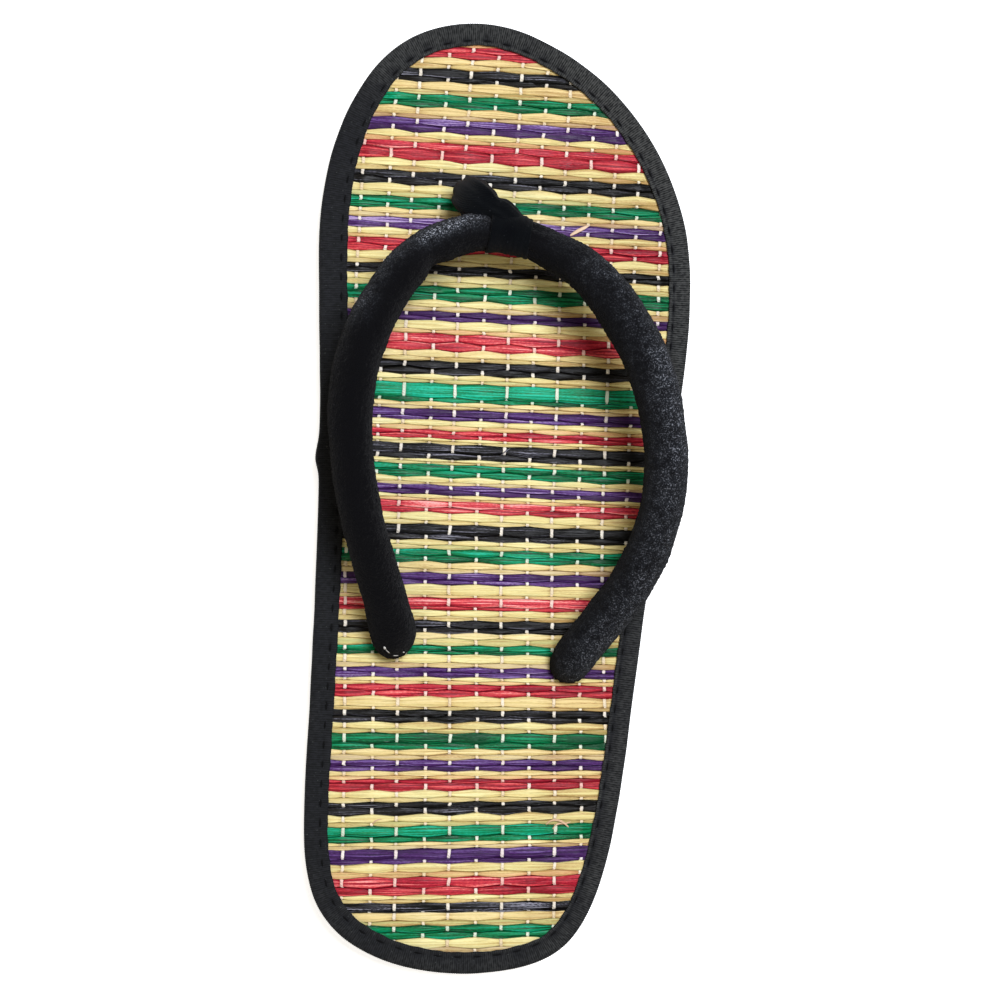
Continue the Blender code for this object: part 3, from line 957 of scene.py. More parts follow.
STRAW_PIECES = (
    # piece, dye, from pick, to pick
    ("straw_natural_front", "natural", 0, PICKS // 2),
    ("straw_natural_back", "natural", PICKS // 2, PICKS),
    ("straw_red", "red", 0, PICKS),
    ("straw_black", "black", 0, PICKS),
    ("straw_green", "green", 0, PICKS),
    ("straw_purple", "purple", 0, PICKS),
)
for name, dye, first_pick, end_pick in STRAW_PIECES:
    tubes = [tube for pick in range(first_pick, end_pick) if pick_dyes[pick] == dye
             for tube in straw_tubes[pick]]
    straw = join_tubes(name, tubes, straw_finishes[dye], crease=50)
    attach(straw, "root")
    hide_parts("straw_mat")

# ----------------------------------------------------------
# Warp threads. Soft flat cotton threads that run from heel to toe, over one pick and under the
# next, and show as ivory dashes.

THREAD_HALF_WIDTH = 0.40
THREAD_HALF_HEIGHT = 0.13
THREAD_OVER = 12.50
THREAD_UNDER = 11.80
THREAD_FACETS = 8
THREAD_WANDER = 0.07
THREAD_TILT = 0.10
# Within one pick: where along its width the thread is read, and how far it has risen there
THREAD_STATIONS = ((0.03, 0.62), (0.20, 0.94), (0.50, 1.0), (0.80, 0.94))

# The tint that each kind of straw has left on the threads that cross it, and its share
THREAD_TINTS = {
    "natural": stain_of((222, 197, 150), 0.55),
    "red": stain_of((226, 140, 142), 0.45),
    "black": stain_of((196, 190, 182), 0.40),
    "green": stain_of((150, 206, 178), 0.40),
    "purple": stain_of((206, 188, 214), 0.35),
}


def thread_tubes(warp):
    """One warp thread as tubes between tape and holes: over or under each pick in turn."""
    share, rise = np.array(THREAD_STATIONS).T
    place = (pick_edges[:-1] + pick_edges[1:]) / 2
    x = weave_x(warp, place)
    slope = np.interp(place, slope_y, slope_there)
    toe_side = pick_edges[:-1] + slope * x + edge_push[:-1, warp]
    heel_side = pick_edges[1:] + slope * x + edge_push[1:, warp]
    y = (toe_side[:, None] + (heel_side - toe_side)[:, None] * share).ravel()
    over = thread_over[:, warp, None] * rise
    z = (THREAD_UNDER + (THREAD_OVER - THREAD_UNDER) * (over + 1) / 2).ravel()
    width = THREAD_HALF_WIDTH * (1 + 0.10 * over.ravel()) * chance.uniform(0.9, 1.1, len(z))
    x = np.repeat(x, len(share))
    x += np.repeat(chance.normal(0.0, THREAD_WANDER, PICKS), len(share))
    tilt = np.repeat(chance.normal(0.0, THREAD_TILT, PICKS), len(share))
    tints = np.repeat([THREAD_TINTS[dye] for dye in pick_dyes], len(share), axis=0)
    x += tilt * np.tile(share - 0.5, PICKS)
    side = np.sign(weave_x(warp, 0.0) - SOLE_SIDES[0][1])
    edge = straw_edge(side, 300)
    reach = edge[side * (edge[:, 0] - np.interp(edge[:, 1], y[::-1], x[::-1])) > 0]
    if len(reach) == 0:
        return []
    hole_x, hole_y = np.array(HOLES).T[:2]
    blocks = hole_blocks(np.interp(hole_y, y[::-1], x[::-1]) - hole_x, hole_y, 0.0)
    angle = ring_angles(THREAD_FACETS)
    tubes = []
    for low, high in clear_spans(reach[:, 1].min(), reach[:, 1].max(), blocks, least=1.5):
        use = (y > low) & (y < high)
        if use.sum() < 4:
            continue
        path = np.stack((x[use], y[use], z[use]), axis=-1)[::-1]
        half = width[use][::-1, None]
        rings = np.stack((path[:, :1] + half * np.sin(angle),
                          np.broadcast_to(path[:, 1:2], (len(path), THREAD_FACETS)),
                          path[:, 2:] + THREAD_HALF_HEIGHT * np.cos(angle)), axis=-1)
        around = np.linspace(0.0, 1.0, THREAD_FACETS + 1) + 3.0 * warp
        tint = np.repeat(tints[use][::-1], THREAD_FACETS, axis=0)
        tubes.append((press_down(rings), path[:, 1], around, 0.5, tint))
    return tubes


def fibre_axes(tree):
    """The pattern's x and y, in millimetres along a strand and across it."""
    return put(tree, "SeparateXYZ", {0: put(tree, "UVMap", uv_map="fibre").outputs[0]}).outputs


def make_thread_finish():
    """Ivory cotton: twisted strands, a little dirt, and the tint of dyed straw rubbed off on it."""
    made, tree = new_finish("warp_cotton", 0.85, sheen_weight=0.15, sheen_roughness=0.5)
    parts = lint_parts(tree, 0.25, 5.0)
    base = coats(tree, (244, 238, 224), (parts["Mottle"], (232, 220, 198)))
    stain = attribute(tree, "tint")
    soaked = sum_up(tree, "MULTIPLY_ADD", parts["Mottle"], 0.8, 0.6)
    soaked = sum_up(tree, "MULTIPLY", soaked, stain["Alpha"], clamp=True)
    base = blend_colours(tree, soaked, base, stain["Color"])
    along, across = fibre_axes(tree)[:2]
    twist = sum_up(tree, "MULTIPLY_ADD", along, 9.0, sum_up(tree, "MULTIPLY", across, 4 * np.pi))
    strand = sum_up(tree, "SINE", twist)
    return dress(made, base_color=base, normal=bumps(tree, strand, 0.04))


tubes = [tube for warp in range(1, len(WARPS) - 1) for tube in thread_tubes(warp)]
threads = join_tubes("warp_threads", tubes, make_thread_finish())
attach(threads, "root")
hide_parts("straw_mat")

# ----------------------------------------------------------
# Loose ends. A few splinters of straw and one thread end stand out of the weave, as they are left
# when the mat is cut from the roll.

LOOSE_ENDS = {
    # piece: finish, then width and way (x, y, height) of each
    "loose_straw_natural": (straw_finishes["loose_tan"], (
        (0.50, ((16.4, 69.4, 12.6), (18.0, 70.4, 13.1), (19.6, 71.3, 13.2), (21.1, 72.2, 12.9))),
        (0.28, ((16.5, -83.4, 12.6), (17.6, -82.2, 13.4), (19.3, -81.9, 13.8), (21.0, -82.6, 13.6),
                (22.4, -83.8, 12.8))),
        (0.22, ((18.3, -84.4, 12.6), (19.6, -83.0, 13.1), (21.3, -82.8, 13.2),
                (22.9, -82.4, 12.7))),
        (0.18, ((-28.4, -84.6, 12.6), (-27.4, -83.5, 13.2), (-26.1, -83.2, 12.8))),
    )),
    "loose_straw_black": (straw_finishes["black"], (
        (0.16, ((0.7, 11.6, 12.7), (1.5, 12.3, 13.1), (2.4, 13.1, 13.0), (3.1, 13.5, 12.6))),
    )),
    "loose_thread": (threads.data.materials[0], (
        (0.34, ((13.5, 60.0, 12.5), (14.0, 59.2, 13.3), (14.3, 58.4, 13.4), (14.1, 57.7, 12.9))),
    )),
}
LOOSE_ROWS = 24
LOOSE_FACETS = 8

# A tint of which no share shows
PLAIN = np.zeros(4)


def way_along(points):
    """How far along a line through points each of them is."""
    return np.concatenate(([0.0], np.cumsum(np.linalg.norm(np.diff(points, axis=0), axis=1))))


def splinter_tube(width, way):
    """A flat pointed sliver along a smooth curve; half width = width x sqrt(sin) of the way."""
    knots = way_along(way)
    along = np.linspace(0.0, knots[-1], LOOSE_ROWS)
    path = spline(knots, way, along)
    ahead = unit(np.gradient(path, axis=0))
    right = unit(np.stack((ahead[:, 1], -ahead[:, 0], np.zeros(LOOSE_ROWS)), axis=-1))
    up = np.cross(right, ahead)
    share = np.linspace(0.06, 0.94, LOOSE_ROWS) * np.pi
    half = width * np.sqrt(np.sin(share))[:, None, None]
    angle = ring_angles(LOOSE_FACETS)
    rings = (path[:, None] + half * np.sin(angle)[:, None] * right[:, None]
             + 0.25 * half * np.cos(angle)[:, None] * up[:, None])
    across = np.linspace(0.0, 2 * width, LOOSE_FACETS + 1) + 5.0 * width
    return rings, along, across, 0.7, PLAIN, 0.0


for name, (finish, slivers) in LOOSE_ENDS.items():
    loose = join_tubes(name, [splinter_tube(width, way) for width, way in slivers], finish)
    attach(loose, "root")

# ----------------------------------------------------------
# Binding. Black ribbed tape folded round the rim of board and mat and sewn down on top, its ribs
# square to the edge. Its ends lap on the big-toe side, where they make a small bulge.

RIB_PITCH = 0.58
RIB_DEPTH = 0.045
WARP_END_PITCH = 0.35
TAPE_UNDER_WIDTH = 4.8
STITCH_PITCH = 5.0
LAP_PLACE = 9.0
LAP_LENGTH = 3.2
LAP_LENGTH_TOEWARDS = 4.6
LAP_BULGE = 1.0
DENT_LEAST = 0.05
DENT_DEPTH = 0.20
STITCH_DRAW = 0.12
EDGE_WAVER = 0.06
PUCKER = 0.025

# The stitch line lies this share of the tape's width in from the rim, and less at the heel
STITCH_SHARE = 0.79
HEEL_STITCH_SHARE = 0.11

# Section of the tape from the inner edge on top, out and round to the edge underneath
TAPE_SECTION = (
    # share of the width, step in from there, height, depth of the ribs, is the stitch line
    (1.0, 0.00, 12.64, 0.3, 0.0),
    (1.0, 0.03, 12.90, 0.7, 0.0),
    (1.0, -0.18, 13.10, 1.0, 0.0),
    (1.0, -0.55, 13.16, 1.0, 0.0),
    (STITCH_SHARE, 0.45, 13.12, 1.0, 0.3),
    (STITCH_SHARE, 0.00, 13.08, 1.0, 1.0),
    (STITCH_SHARE, -0.55, 13.16, 1.0, 0.3),
    (0.42, 0.00, 13.25, 1.0, 0.0),
    (0.28, 0.00, 13.26, 1.0, 0.0),
    (0.0, 0.95, 13.16, 1.0, 0.0),
    (0.0, 0.38, 12.92, 1.0, 0.0),
    (0.0, 0.08, 12.45, 1.0, 0.0),
    (0.0, 0.00, 11.60, 1.0, 0.0),
    (0.0, 0.02, 10.20, 1.0, 0.0),
    (0.0, 0.16, 9.20, 1.0, 0.0),
    (0.0, 0.60, 8.82, 0.6, 0.0),
    (0.0, TAPE_UNDER_WIDTH, 8.80, 0.0, 0.0),
    (0.0, TAPE_UNDER_WIDTH, 9.40, 0.0, 0.0),
    (0.0, 0.65, 9.42, 0.0, 0.0),
    (0.0, 0.65, 12.56, 0.0, 0.0),
)


def even_turns(count, inset=0.0):
    """Angles whose points on the outline are evenly apart, and how far round each one is."""
    fine = np.linspace(0.0, 2 * np.pi, 6001)
    way = way_along(sole_edge(fine, inset))
    place = way[-1] * np.arange(count) / count
    return np.interp(place, way, fine), place, way[-1]


def lap_shape(turn):
    """How far the lapped ends stand out, 0 to 1: exp(-(way from LAP_PLACE / length)^2)."""
    on_side = np.where(turn > np.pi, -HALF_LENGTH * np.cos(turn), np.inf)
    ahead = on_side - LAP_PLACE
    return bell(ahead, np.where(ahead > 0, LAP_LENGTH_TOEWARDS, LAP_LENGTH))


def make_tape_finish():
    """Charcoal grosgrain: ribs with painted shade in their grooves, warp ends across them, paler
    where the shade paints light, and painted shade in the stitch dents.
    """
    made, tree = new_finish("grosgrain_charcoal", 0.8, specular_ior_level=0.05)
    parts = lint_parts(tree, 0.3, 10.0)
    along, across = fibre_axes(tree)[:2]
    rib = sum_up(tree, "SINE", sum_up(tree, "MULTIPLY", along, 2 * np.pi / RIB_PITCH))
    end = sum_up(tree, "SINE", sum_up(tree, "MULTIPLY", across, 2 * np.pi / WARP_END_PITCH))
    lightness = sum_up(tree, "MULTIPLY_ADD", parts["Mottle"], 0.3, attribute(tree, "shade")["Fac"])
    number = sum_up(tree, "MULTIPLY", along, 0.9 / RIB_PITCH)
    crossing = sum_up(tree, "MULTIPLY", across, 0.8)
    uneven = noise(tree, put(tree, "CombineXYZ", {0: number, 1: crossing}).outputs[0], 1.0, 1.0)
    # Painted shade in the rib grooves, together with darker patches where the weave runs uneven
    low = sum_up(tree, "ADD", step_between(tree, uneven, 0.3, 0.7),
                 sum_up(tree, "MULTIPLY", rib, 0.55))
    # Paler where the shade paints light; near black where it paints the stitch dents' shade
    base = coats(tree, (36, 37, 40), (step_between(tree, lightness, 0.1, 1.3), (70, 71, 70)),
                 (step_between(tree, low, -0.5, 1.5, 1.0, 0.0), (24, 25, 26)),
                 (step_between(tree, lightness, -0.6, 0.0, 0.8, 0.0), (6, 6, 7)),
                 (sum_up(tree, "MULTIPLY", parts["Lint"], 0.4), (96, 100, 98)))
    height = sum_up(tree, "ADD", sum_up(tree, "MULTIPLY_ADD", end, 0.3, rib), parts["Grain"])
    return dress(made, base_color=base, normal=bumps(tree, height, 0.03))


def ring_mesh(name, rings, along, across, finish, crease=None, shade=None):
    """A closed ring of sections: rings is (rows, section, 3), and the last row meets the first.

    Both pattern axes run one step past the last row and point, so that they meet without a jump.
    """
    index = ring_numbers(*rings.shape[:2])
    faces = wall_quads(np.concatenate((index, index[:1])))
    return add_mesh(name, rings.reshape(-1, 3), [faces], finish,
                    uv=pattern_places(along, across)[1], crease=crease, shade=shade)


def stitch_inset(turn):
    """How far in from the rim the stitches run: further out along the inner side of the heel."""
    outwards = HEEL_STITCH_SHARE * on_big_toe_side(turn) * np.clip(2 * np.cos(turn), 0.0, 1.0)
    return tape_width(turn) * (STITCH_SHARE - outwards)


# How many stitches there are, and the line that their places are counted along
stitch_count = int(even_turns(10, tape_width(0.0))[2] / STITCH_PITCH)
seam_turn, seam_way, seam_length = even_turns(4000, TAPE_WIDTH)


def stitch_pull(turn):
    """How hard the sewing pulls at every angle: cos^4, 1 at the middle of each stitch."""
    return np.cos(np.pi * np.interp(turn, seam_turn, seam_way) / seam_length * stitch_count) ** 4


def tape_surface(turn, way, ribs):
    """Section of the tape at every angle, with ribs, stitch dents, puckers and the lapped ends.

    The dents follow stitch_pull. The puckers are two sines of the way round, one of them uneven.
    """
    share, step, height, ribbed, stitched = np.array(TAPE_SECTION).T
    wide = np.where(share == STITCH_SHARE, stitch_inset(turn)[:, None],
                    tape_width(turn)[:, None] * share)
    inset = wide + step
    pull = stitch_pull(turn)
    level = height - (DENT_LEAST + DENT_DEPTH * pull)[:, None] * stitched
    drawn_in = STITCH_DRAW * (share == 1.0) * (pull - 0.5)[:, None]
    inset = inset + drawn_in + EDGE_WAVER * (share == 1.0) * np.sin(way / 2.3)[:, None]
    pucker = (np.sin(way / 2.7 + 2 * np.sin(way / 11.0)) + np.sin(way / 4.3 + 1.7)) * PUCKER
    bulge = lap_shape(turn) * LAP_BULGE
    outer = np.where(share == 0.0, np.clip(1 - step / 2.5, 0, 1), 0.0) * (ribbed > 0)
    inset = inset - outer * (bulge + pucker)[:, None] - ribs[:, None] * ribbed * outer
    upper = np.where(height > 12.9, 1.0, 0.0)
    level = level + upper * (ribs + pucker + 0.25 * bulge)[:, None] * ribbed
    edge = sole_edge(turn, 0.0)
    inward = sole_edge(turn, 1.0) - edge
    flat = edge[:, None] + inward[:, None] * inset[..., None]
    return np.concatenate((flat, level[..., None]), axis=-1)


def tape_light_and_shade(turn):
    """Painted light and shade: paler on the little-toe side and at toe and heel, and dark where
    each stitch pulls it in.
    """
    x, y = sole_edge(turn, 0.0).T
    # Painted light: paler towards the little-toe side, the toe and the heel
    lightness = smooth_step((x + 25.0) / 60.0) * (0.6 + 0.8 * smooth_step((y - 10.0) / 60.0))
    lightness = np.maximum(lightness, 0.8 * smooth_step((y - 98.0) / 20.0))
    lightness = np.maximum(lightness, 0.25 * smooth_step((-y - 90.0) / 25.0))
    # Painted shade in the stitch dents, strongest at each stitch and on the little-toe side
    valley = np.array(TAPE_SECTION)[:, 4]
    line = 0.12 + 0.3 * smooth_step(x / 30.0)
    dent_shade = (line + (1 - line) * stitch_pull(turn))[:, None] * valley
    return lightness[:, None] * (1 - 0.8 * dent_shade) - 0.8 * dent_shade


rib_count = 2 * int(even_turns(10)[2] / RIB_PITCH / 2)
turn, way, around = even_turns(2 * rib_count)
ribs = np.where(np.arange(2 * rib_count) % 2 == 0, RIB_DEPTH, -RIB_DEPTH)
section = tape_surface(turn, way, ribs)
across = way_along(section[0])
along = np.append(way, around) * RIB_PITCH * rib_count / around
binding = ring_mesh("binding_tape", section, along, np.append(across, across[-1] + 5.0),
                    make_tape_finish(), shade=tape_light_and_shade(turn).ravel())
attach(binding, "root")
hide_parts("binding")

# Stitches: black thread, one row all round, each sunk into the tape at both ends.

STITCH_LENGTH = 2.2
STITCH_RADIUS = 0.20
STITCH_TOP = 12.98
STITCH_SINK = 0.16
STITCH_ARCH = 0.22
STITCH_ROWS = 7
STITCH_FACETS = 6


def make_stitch_tubes():
    """Each stitch is a short tube along the tape, dipping at its ends as a half sine."""
    start = np.arange(stitch_count)[:, None] / stitch_count
    share = np.linspace(-0.5, 0.5, STITCH_ROWS)
    here = (start * seam_length + share * STITCH_LENGTH) % seam_length
    turns = np.interp(here.ravel(), seam_way, seam_turn)
    line = sole_edge(turns, stitch_inset(turns)).reshape(stitch_count, len(share), 2)
    height = STITCH_TOP - STITCH_SINK + STITCH_ARCH * np.cos(share * np.pi)
    thick = STITCH_RADIUS * np.cos(share * np.pi * 0.8) ** 0.5
    angle = ring_angles(STITCH_FACETS)
    across = np.linspace(0.0, 1.0, STITCH_FACETS + 1)
    tubes = []
    for spot in line:
        ahead = spot[-1] - spot[0]
        ahead /= np.linalg.norm(ahead)
        right = np.array((ahead[1], -ahead[0]))
        flat = spot[:, None] + right * (thick[:, None] * np.sin(angle))[..., None]
        level = height[:, None] + thick[:, None] * np.cos(angle)
        rings = np.concatenate((flat, level[..., None]), axis=-1)
        tubes.append((rings, share * STITCH_LENGTH, across, 0.5, PLAIN))
    return tubes


# Black sewing thread with a low shine
sewing_thread = grained_finish("sewing_thread_black", 0.7, (0.2, 4.0), 0.03, (5, 5, 6),
                               {"Grain": (16, 17, 18)}, specular_ior_level=0.08)
stitches = join_tubes("binding_stitches", make_stitch_tubes(), sewing_thread)
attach(stitches, "root")

# ----------------------------------------------------------
# Strap. A tube of black crushed velvet sewn round a foam core. Its two ends go down through the
# mat and are glued under it; the toe post holds its middle down.

MAT_TOP = 12.7
STRAP_ROWS = 620
STRAP_FACETS = 84

# The tube's centre line, from the hole on the big-toe side to the one on the other side.
STRAP_ROUTE = (
    # x, y, height above the mat, radius
    (-25.3, -37.0, -3.3, 4.6),
    (-25.3, -37.0, 1.2, 4.8),
    (-25.2, -36.0, 4.2, 5.5),
    (-26.5, -30.6, 8.6, 5.7),
    (-30.6, -18.4, 15.5, 5.4),
    (-35.0, -5.0, 21.5, 5.3),
    (-37.9, 9.3, 25.0, 5.3),
    (-38.7, 23.5, 26.5, 5.5),
    (-36.6, 36.4, 26.0, 5.6),
    (-32.3, 47.0, 24.5, 5.4),
    (-25.3, 57.4, 22.0, 5.3),
    (-14.1, 65.1, 18.5, 4.9),
    (-1.1, 67.0, 16.5, 4.4),
    (9.5, 63.2, 18.2, 4.8),
    (18.3, 57.8, 22.0, 5.3),
    (27.1, 47.4, 25.5, 5.7),
    (34.1, 34.9, 27.5, 5.7),
    (38.4, 20.1, 28.0, 5.5),
    (39.9, 7.4, 26.0, 5.4),
    (38.5, -5.9, 22.0, 5.4),
    (32.6, -21.8, 14.5, 5.5),
    (24.8, -33.8, 8.6, 5.4),
    (20.9, -40.3, 4.2, 5.2),
    (20.5, -41.6, 1.2, 4.8),
    (20.5, -41.6, -3.3, 4.6),
)
STRAP_MIDDLE_ROW = 12

# Lumps are how uneven the foam is, gathers the cloth bunched beside the toe post, pile its fuzz
GATHER_DEPTH = 0.18
GATHER_PLACE = 6.0
GATHER_REACH = 5.0
LUMP_DEPTHS = (0.10, 0.06)
PILE = 0.09

# Soft fold on the inner side, where the tube bends towards the big toe: how far it is past
# its row of the route, how far it reaches along the tube and in degrees round it, and its depth
FOLD_ROW = 10
FOLD_AHEAD = 4.6
FOLD_LENGTH = 3.4
FOLD_SPREAD = 62.0
FOLD_DEPTH = 1.6

# Where the nap's grey sheen is painted into the velvet's colour, as a painted highlight
NAP_SHEEN_PATCHES = (
    # start and end as shares of the length, degrees round from outwards, spread, strength
    (0.31, 0.41, 50.0, 34.0, 0.56),
    (0.39, 0.455, 70.0, 32.0, 1.20),
    (0.42, 0.47, 55.0, 45.0, 0.30),
    (0.51, 0.57, 75.0, 40.0, 0.25),
    (0.55, 0.66, 60.0, 75.0, 0.56),
    (0.64, 0.75, 70.0, 70.0, 0.82),
    (0.73, 0.97, 86.0, 80.0, 0.64),
)


def path_axes(centres):
    """Side and up at each point of a path, turned as little as possible on the way."""
    ahead = unit(np.gradient(centres, axis=0))
    side = np.cross(ahead[0], (0.0, 1.0, 0.0))
    sides = []
    for forward in ahead:
        side = side - forward * np.dot(side, forward)
        side = side / np.linalg.norm(side)
        sides.append(side)
    return np.array(sides), np.cross(ahead, sides)


def route_line(route, count):
    """Rows evenly along a smooth curve through a route, how far each is along, and its knots.

    A row is its middle (x, y, z), the radius, and the directions to the side and up.
    """
    rows = np.array(route, float)
    rows[:, 2] += MAT_TOP
    knots = way_along(rows[:, :3])
    way = np.linspace(0.0, knots[-1], count)
    rows = spline(knots, rows, way)
    return np.concatenate((rows, *path_axes(rows[:, :3])), axis=1), way, knots


def line_at(place, line, way):
    """Rows of a line at any place along it."""
    return np.stack([np.interp(place, way, column) for column in line.T], axis=-1)


def ring_points(line, radius, angle):
    """Points round the rows of a line: middle + radius x (cos(angle) side + sin(angle) up)."""
    return (line[..., :3] + (radius * np.cos(angle))[..., None] * line[..., 4:7]
            + (radius * np.sin(angle))[..., None] * line[..., 7:])


def make_velvet_finish():
    """Crushed black velvet: deep black, with a painted grey sheen of pile tips in specks and in
    clumps.

    The shade of the mesh says where that sheen is painted; there the specks are many and bright.
    """
    made, tree = new_finish("velvet_black", 1.0, specular_ior_level=0.0, sheen_weight=0.05,
                            sheen_roughness=0.4)
    fine = lint_parts(tree, 0.38, 1.5)
    clump = lint_parts(tree, 3.2, 12.0)
    nap_sheen = attribute(tree, "shade")["Fac"]
    # Painted sheen: soft grey clumps and bright specks where the mesh's shade asks for it
    soft = sum_up(tree, "MULTIPLY_ADD", fine["Mottle"], 0.45,
                  sum_up(tree, "MULTIPLY_ADD", clump["Grain"], 0.3, 0.05))
    patch = step_between(tree, clump["Mottle"], 0.0, 0.6, 0.45, 1.15)
    soft = sum_up(tree, "MULTIPLY", soft, sum_up(tree, "MULTIPLY", nap_sheen, patch), clamp=True)
    speck = step_between(tree, fine["Grain"], 0.58, 0.96)
    shine = sum_up(tree, "MULTIPLY_ADD", sum_up(tree, "POWER", nap_sheen, 2.0), 1.05, 0.28)
    speck = sum_up(tree, "MULTIPLY", speck, sum_up(tree, "MULTIPLY", soft, shine), clamp=True)
    base = coats(tree, (15, 15, 17), (soft, (46, 49, 54)), (speck, (170, 174, 184)))
    return dress(made, base_color=base, normal=bumps(tree, fine["Grain"], 0.2))


def make_strap():
    """Velvet tube: radius along the route, gathers beside the toe post, lumps, pile and a fold.

    Gathers and lumps are sines round the tube and along it, the gathers times exp(-((way from
    the post - place) / reach)^2). The fold is depth x exp(-(way / length)^2 - (turn / spread)^2).
    Angle 0 looks out of the arch, a quarter turn is up, and half a turn looks into the arch.
    """
    line, way, knots = route_line(STRAP_ROUTE, STRAP_ROWS)
    angle = ring_angles(STRAP_FACETS)
    from_middle = np.abs(way - knots[STRAP_MIDDLE_ROW])[:, None]
    gathers = bell(from_middle - GATHER_PLACE, GATHER_REACH) * GATHER_DEPTH
    gathers = gathers * np.sin(9 * angle + 1.5 * np.sin(way / 6.0)[:, None])
    lumps = LUMP_DEPTHS[0] * np.sin(way / 5.3)[:, None] * np.sin(2 * angle + way[:, None] / 9.0)
    lumps = lumps + LUMP_DEPTHS[1] * np.sin(way[:, None] / 2.1 + 3 * angle)
    pile = chance.normal(0.0, PILE, (STRAP_ROWS, STRAP_FACETS))
    from_fold = (way - knots[FOLD_ROW] - FOLD_AHEAD)[:, None] / FOLD_LENGTH
    fold = FOLD_DEPTH * np.exp(-from_fold ** 2 - ((angle - np.pi) / np.radians(FOLD_SPREAD)) ** 2)
    radius = line[:, 3:4] + gathers + lumps + pile - fold
    edge_in = smooth_step(np.minimum(way, way[-1] - way) / 1.5)[:, None]
    rings = ring_points(line[:, None], radius * (0.75 + 0.25 * edge_in), angle)
    share = way / way[-1]
    # Painted sheen: how much grey nap sheen each point of the velvet gets
    nap_sheen = np.zeros((STRAP_ROWS, STRAP_FACETS))
    for start, end, facing, spread, strength in NAP_SHEEN_PATCHES:
        reach = smooth_step((share - start) / 0.03) * (1 - smooth_step((share - end) / 0.03))
        turned = np.angle(np.exp(1j * (angle - np.radians(facing))))
        nap_sheen = np.maximum(nap_sheen, strength * reach[:, None] * bell(turned, np.radians(spread)))
    tube = (rings, way, np.linspace(0.0, 1.0, STRAP_FACETS + 1), nap_sheen, PLAIN)
    return join_tubes("strap_velvet", [tube], make_velvet_finish())


strap = make_strap()
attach(strap, "root")
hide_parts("strap")

# Glue. A few clear drops and threads of it dried on the heel side of the strap's big-toe end.

GLUE_BEADS = (
    # way along the strap and degrees round it, at either end of the bead, and thickness
    (10.2, 69.0, 9.6, 71.0, 0.34),
    (9.5, 72.0, 8.6, 81.0, 0.12),
    (7.9, 90.0, 7.7, 104.0, 0.13),
    (8.3, 117.0, 8.1, 121.0, 0.20),
    (5.6, 128.0, 5.2, 146.0, 0.15),
)
GLUE_ROWS = 12
GLUE_FACETS = 8


def glue_tube(start, start_angle, end, end_angle, thick):
    """A bead lying on the velvet, thickest in its middle: thickness x sqrt(sin) of the way."""
    here = np.linspace(start, end, GLUE_ROWS)
    turn = np.radians(np.linspace(start_angle, end_angle, GLUE_ROWS))[:, None]
    line = line_at(here, *route_line(STRAP_ROUTE, STRAP_ROWS)[:2])
    outward = np.cos(turn) * line[:, 4:7] + np.sin(turn) * line[:, 7:]
    middle = line[:, :3] + line[:, 3:4] * outward
    along = unit(np.gradient(middle, axis=0))
    half = thick * np.sqrt(np.sin(np.linspace(0.05, 0.95, GLUE_ROWS) * np.pi))[:, None, None]
    angle = ring_angles(GLUE_FACETS)[:, None]
    rings = middle[:, None] + half * (np.cos(angle) * outward[:, None]
                                      + np.sin(angle) * np.cross(along, outward)[:, None])
    return rings, here, np.linspace(0.0, 1.0, GLUE_FACETS + 1), 0.5, PLAIN


# Clear set glue, yellowed a little, smooth and shiny; its pale grey with whiter mottling paints in
# part the glints of the drops
clear_glue = grained_finish("glue_clear", 0.12, (0.5, 2.0), 0.08, (150, 148, 142),
                            {"Mottle": (220, 218, 212)}, specular_ior_level=0.6)
glue = join_tubes("strap_glue", [glue_tube(*bead) for bead in GLUE_BEADS], clear_glue)
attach(glue, "root")

# ----------------------------------------------------------
# Toe post. A strip of black twill looped round the middle of the strap, gathered under it into a
# thick neck, and led down between the toes through the sole.

POST_ROWS = 90
POST_FACETS = 72
KNOB_PLACE = 11.0
KNOB_LENGTH = 4.5
NECK_PLACE = 7.0
NECK_LENGTH = 1.2
NECK_DEPTH = 0.85
NECK_FOLDS = (0.20, 0.10)
KNOB_SQUARE = 0.75
LOOP_START = -4.9
LOOP_END = 5.6
LOOP_WALL = 0.8
LOOP_CLEARANCE = 0.1
LOOP_THIN_END = 0.55
LOOP_STRAP_RADIUS = 5.5
LOOP_BEND = 26.0
LOOP_SEAMS = (0.50, 0.66)
SEAM_HEIGHT = 0.13
SEAM_REACH = 0.045
WALE_PITCH = 0.5

# The neck's centre line, from inside the strap forward and down into the sole.
POST_ROUTE = (
    # x, y, height above the mat, radius
    (0.4, 68.4, 16.6, 3.8),
    (-3.4, 71.2, 17.0, 4.4),
    (-7.7, 73.6, 16.0, 4.8),
    (-9.8, 75.7, 11.8, 5.2),
    (-10.2, 77.6, 6.0, 4.7),
    (-10.2, 78.5, 0.5, 3.5),
    (-10.2, 78.5, -3.3, 3.4),
)


def make_twill_finish():
    """Black twill: fine diagonal wales, matt, with a dusting of lint."""
    made, tree = new_finish("twill_black", 0.85, specular_ior_level=0.05, sheen_weight=0.03,
                            sheen_roughness=0.5)
    parts = lint_parts(tree, 0.3, 5.0)
    wale = sum_up(tree, "ADD", *fibre_axes(tree)[:2])
    wale = sum_up(tree, "SINE", sum_up(tree, "MULTIPLY", wale, 2 * np.pi / WALE_PITCH))
    base = coats(tree, (2, 3, 6), (parts["Mottle"], (5, 7, 10)),
                 (step_between(tree, wale, 0.2, 1.0, 0.0, 0.5), (13, 16, 20)),
                 (sum_up(tree, "MULTIPLY", parts["Lint"], 0.5), (60, 62, 66)))
    height = sum_up(tree, "ADD", wale, parts["Grain"])
    return dress(made, base_color=base, normal=bumps(tree, height, 0.04))


twill = make_twill_finish()


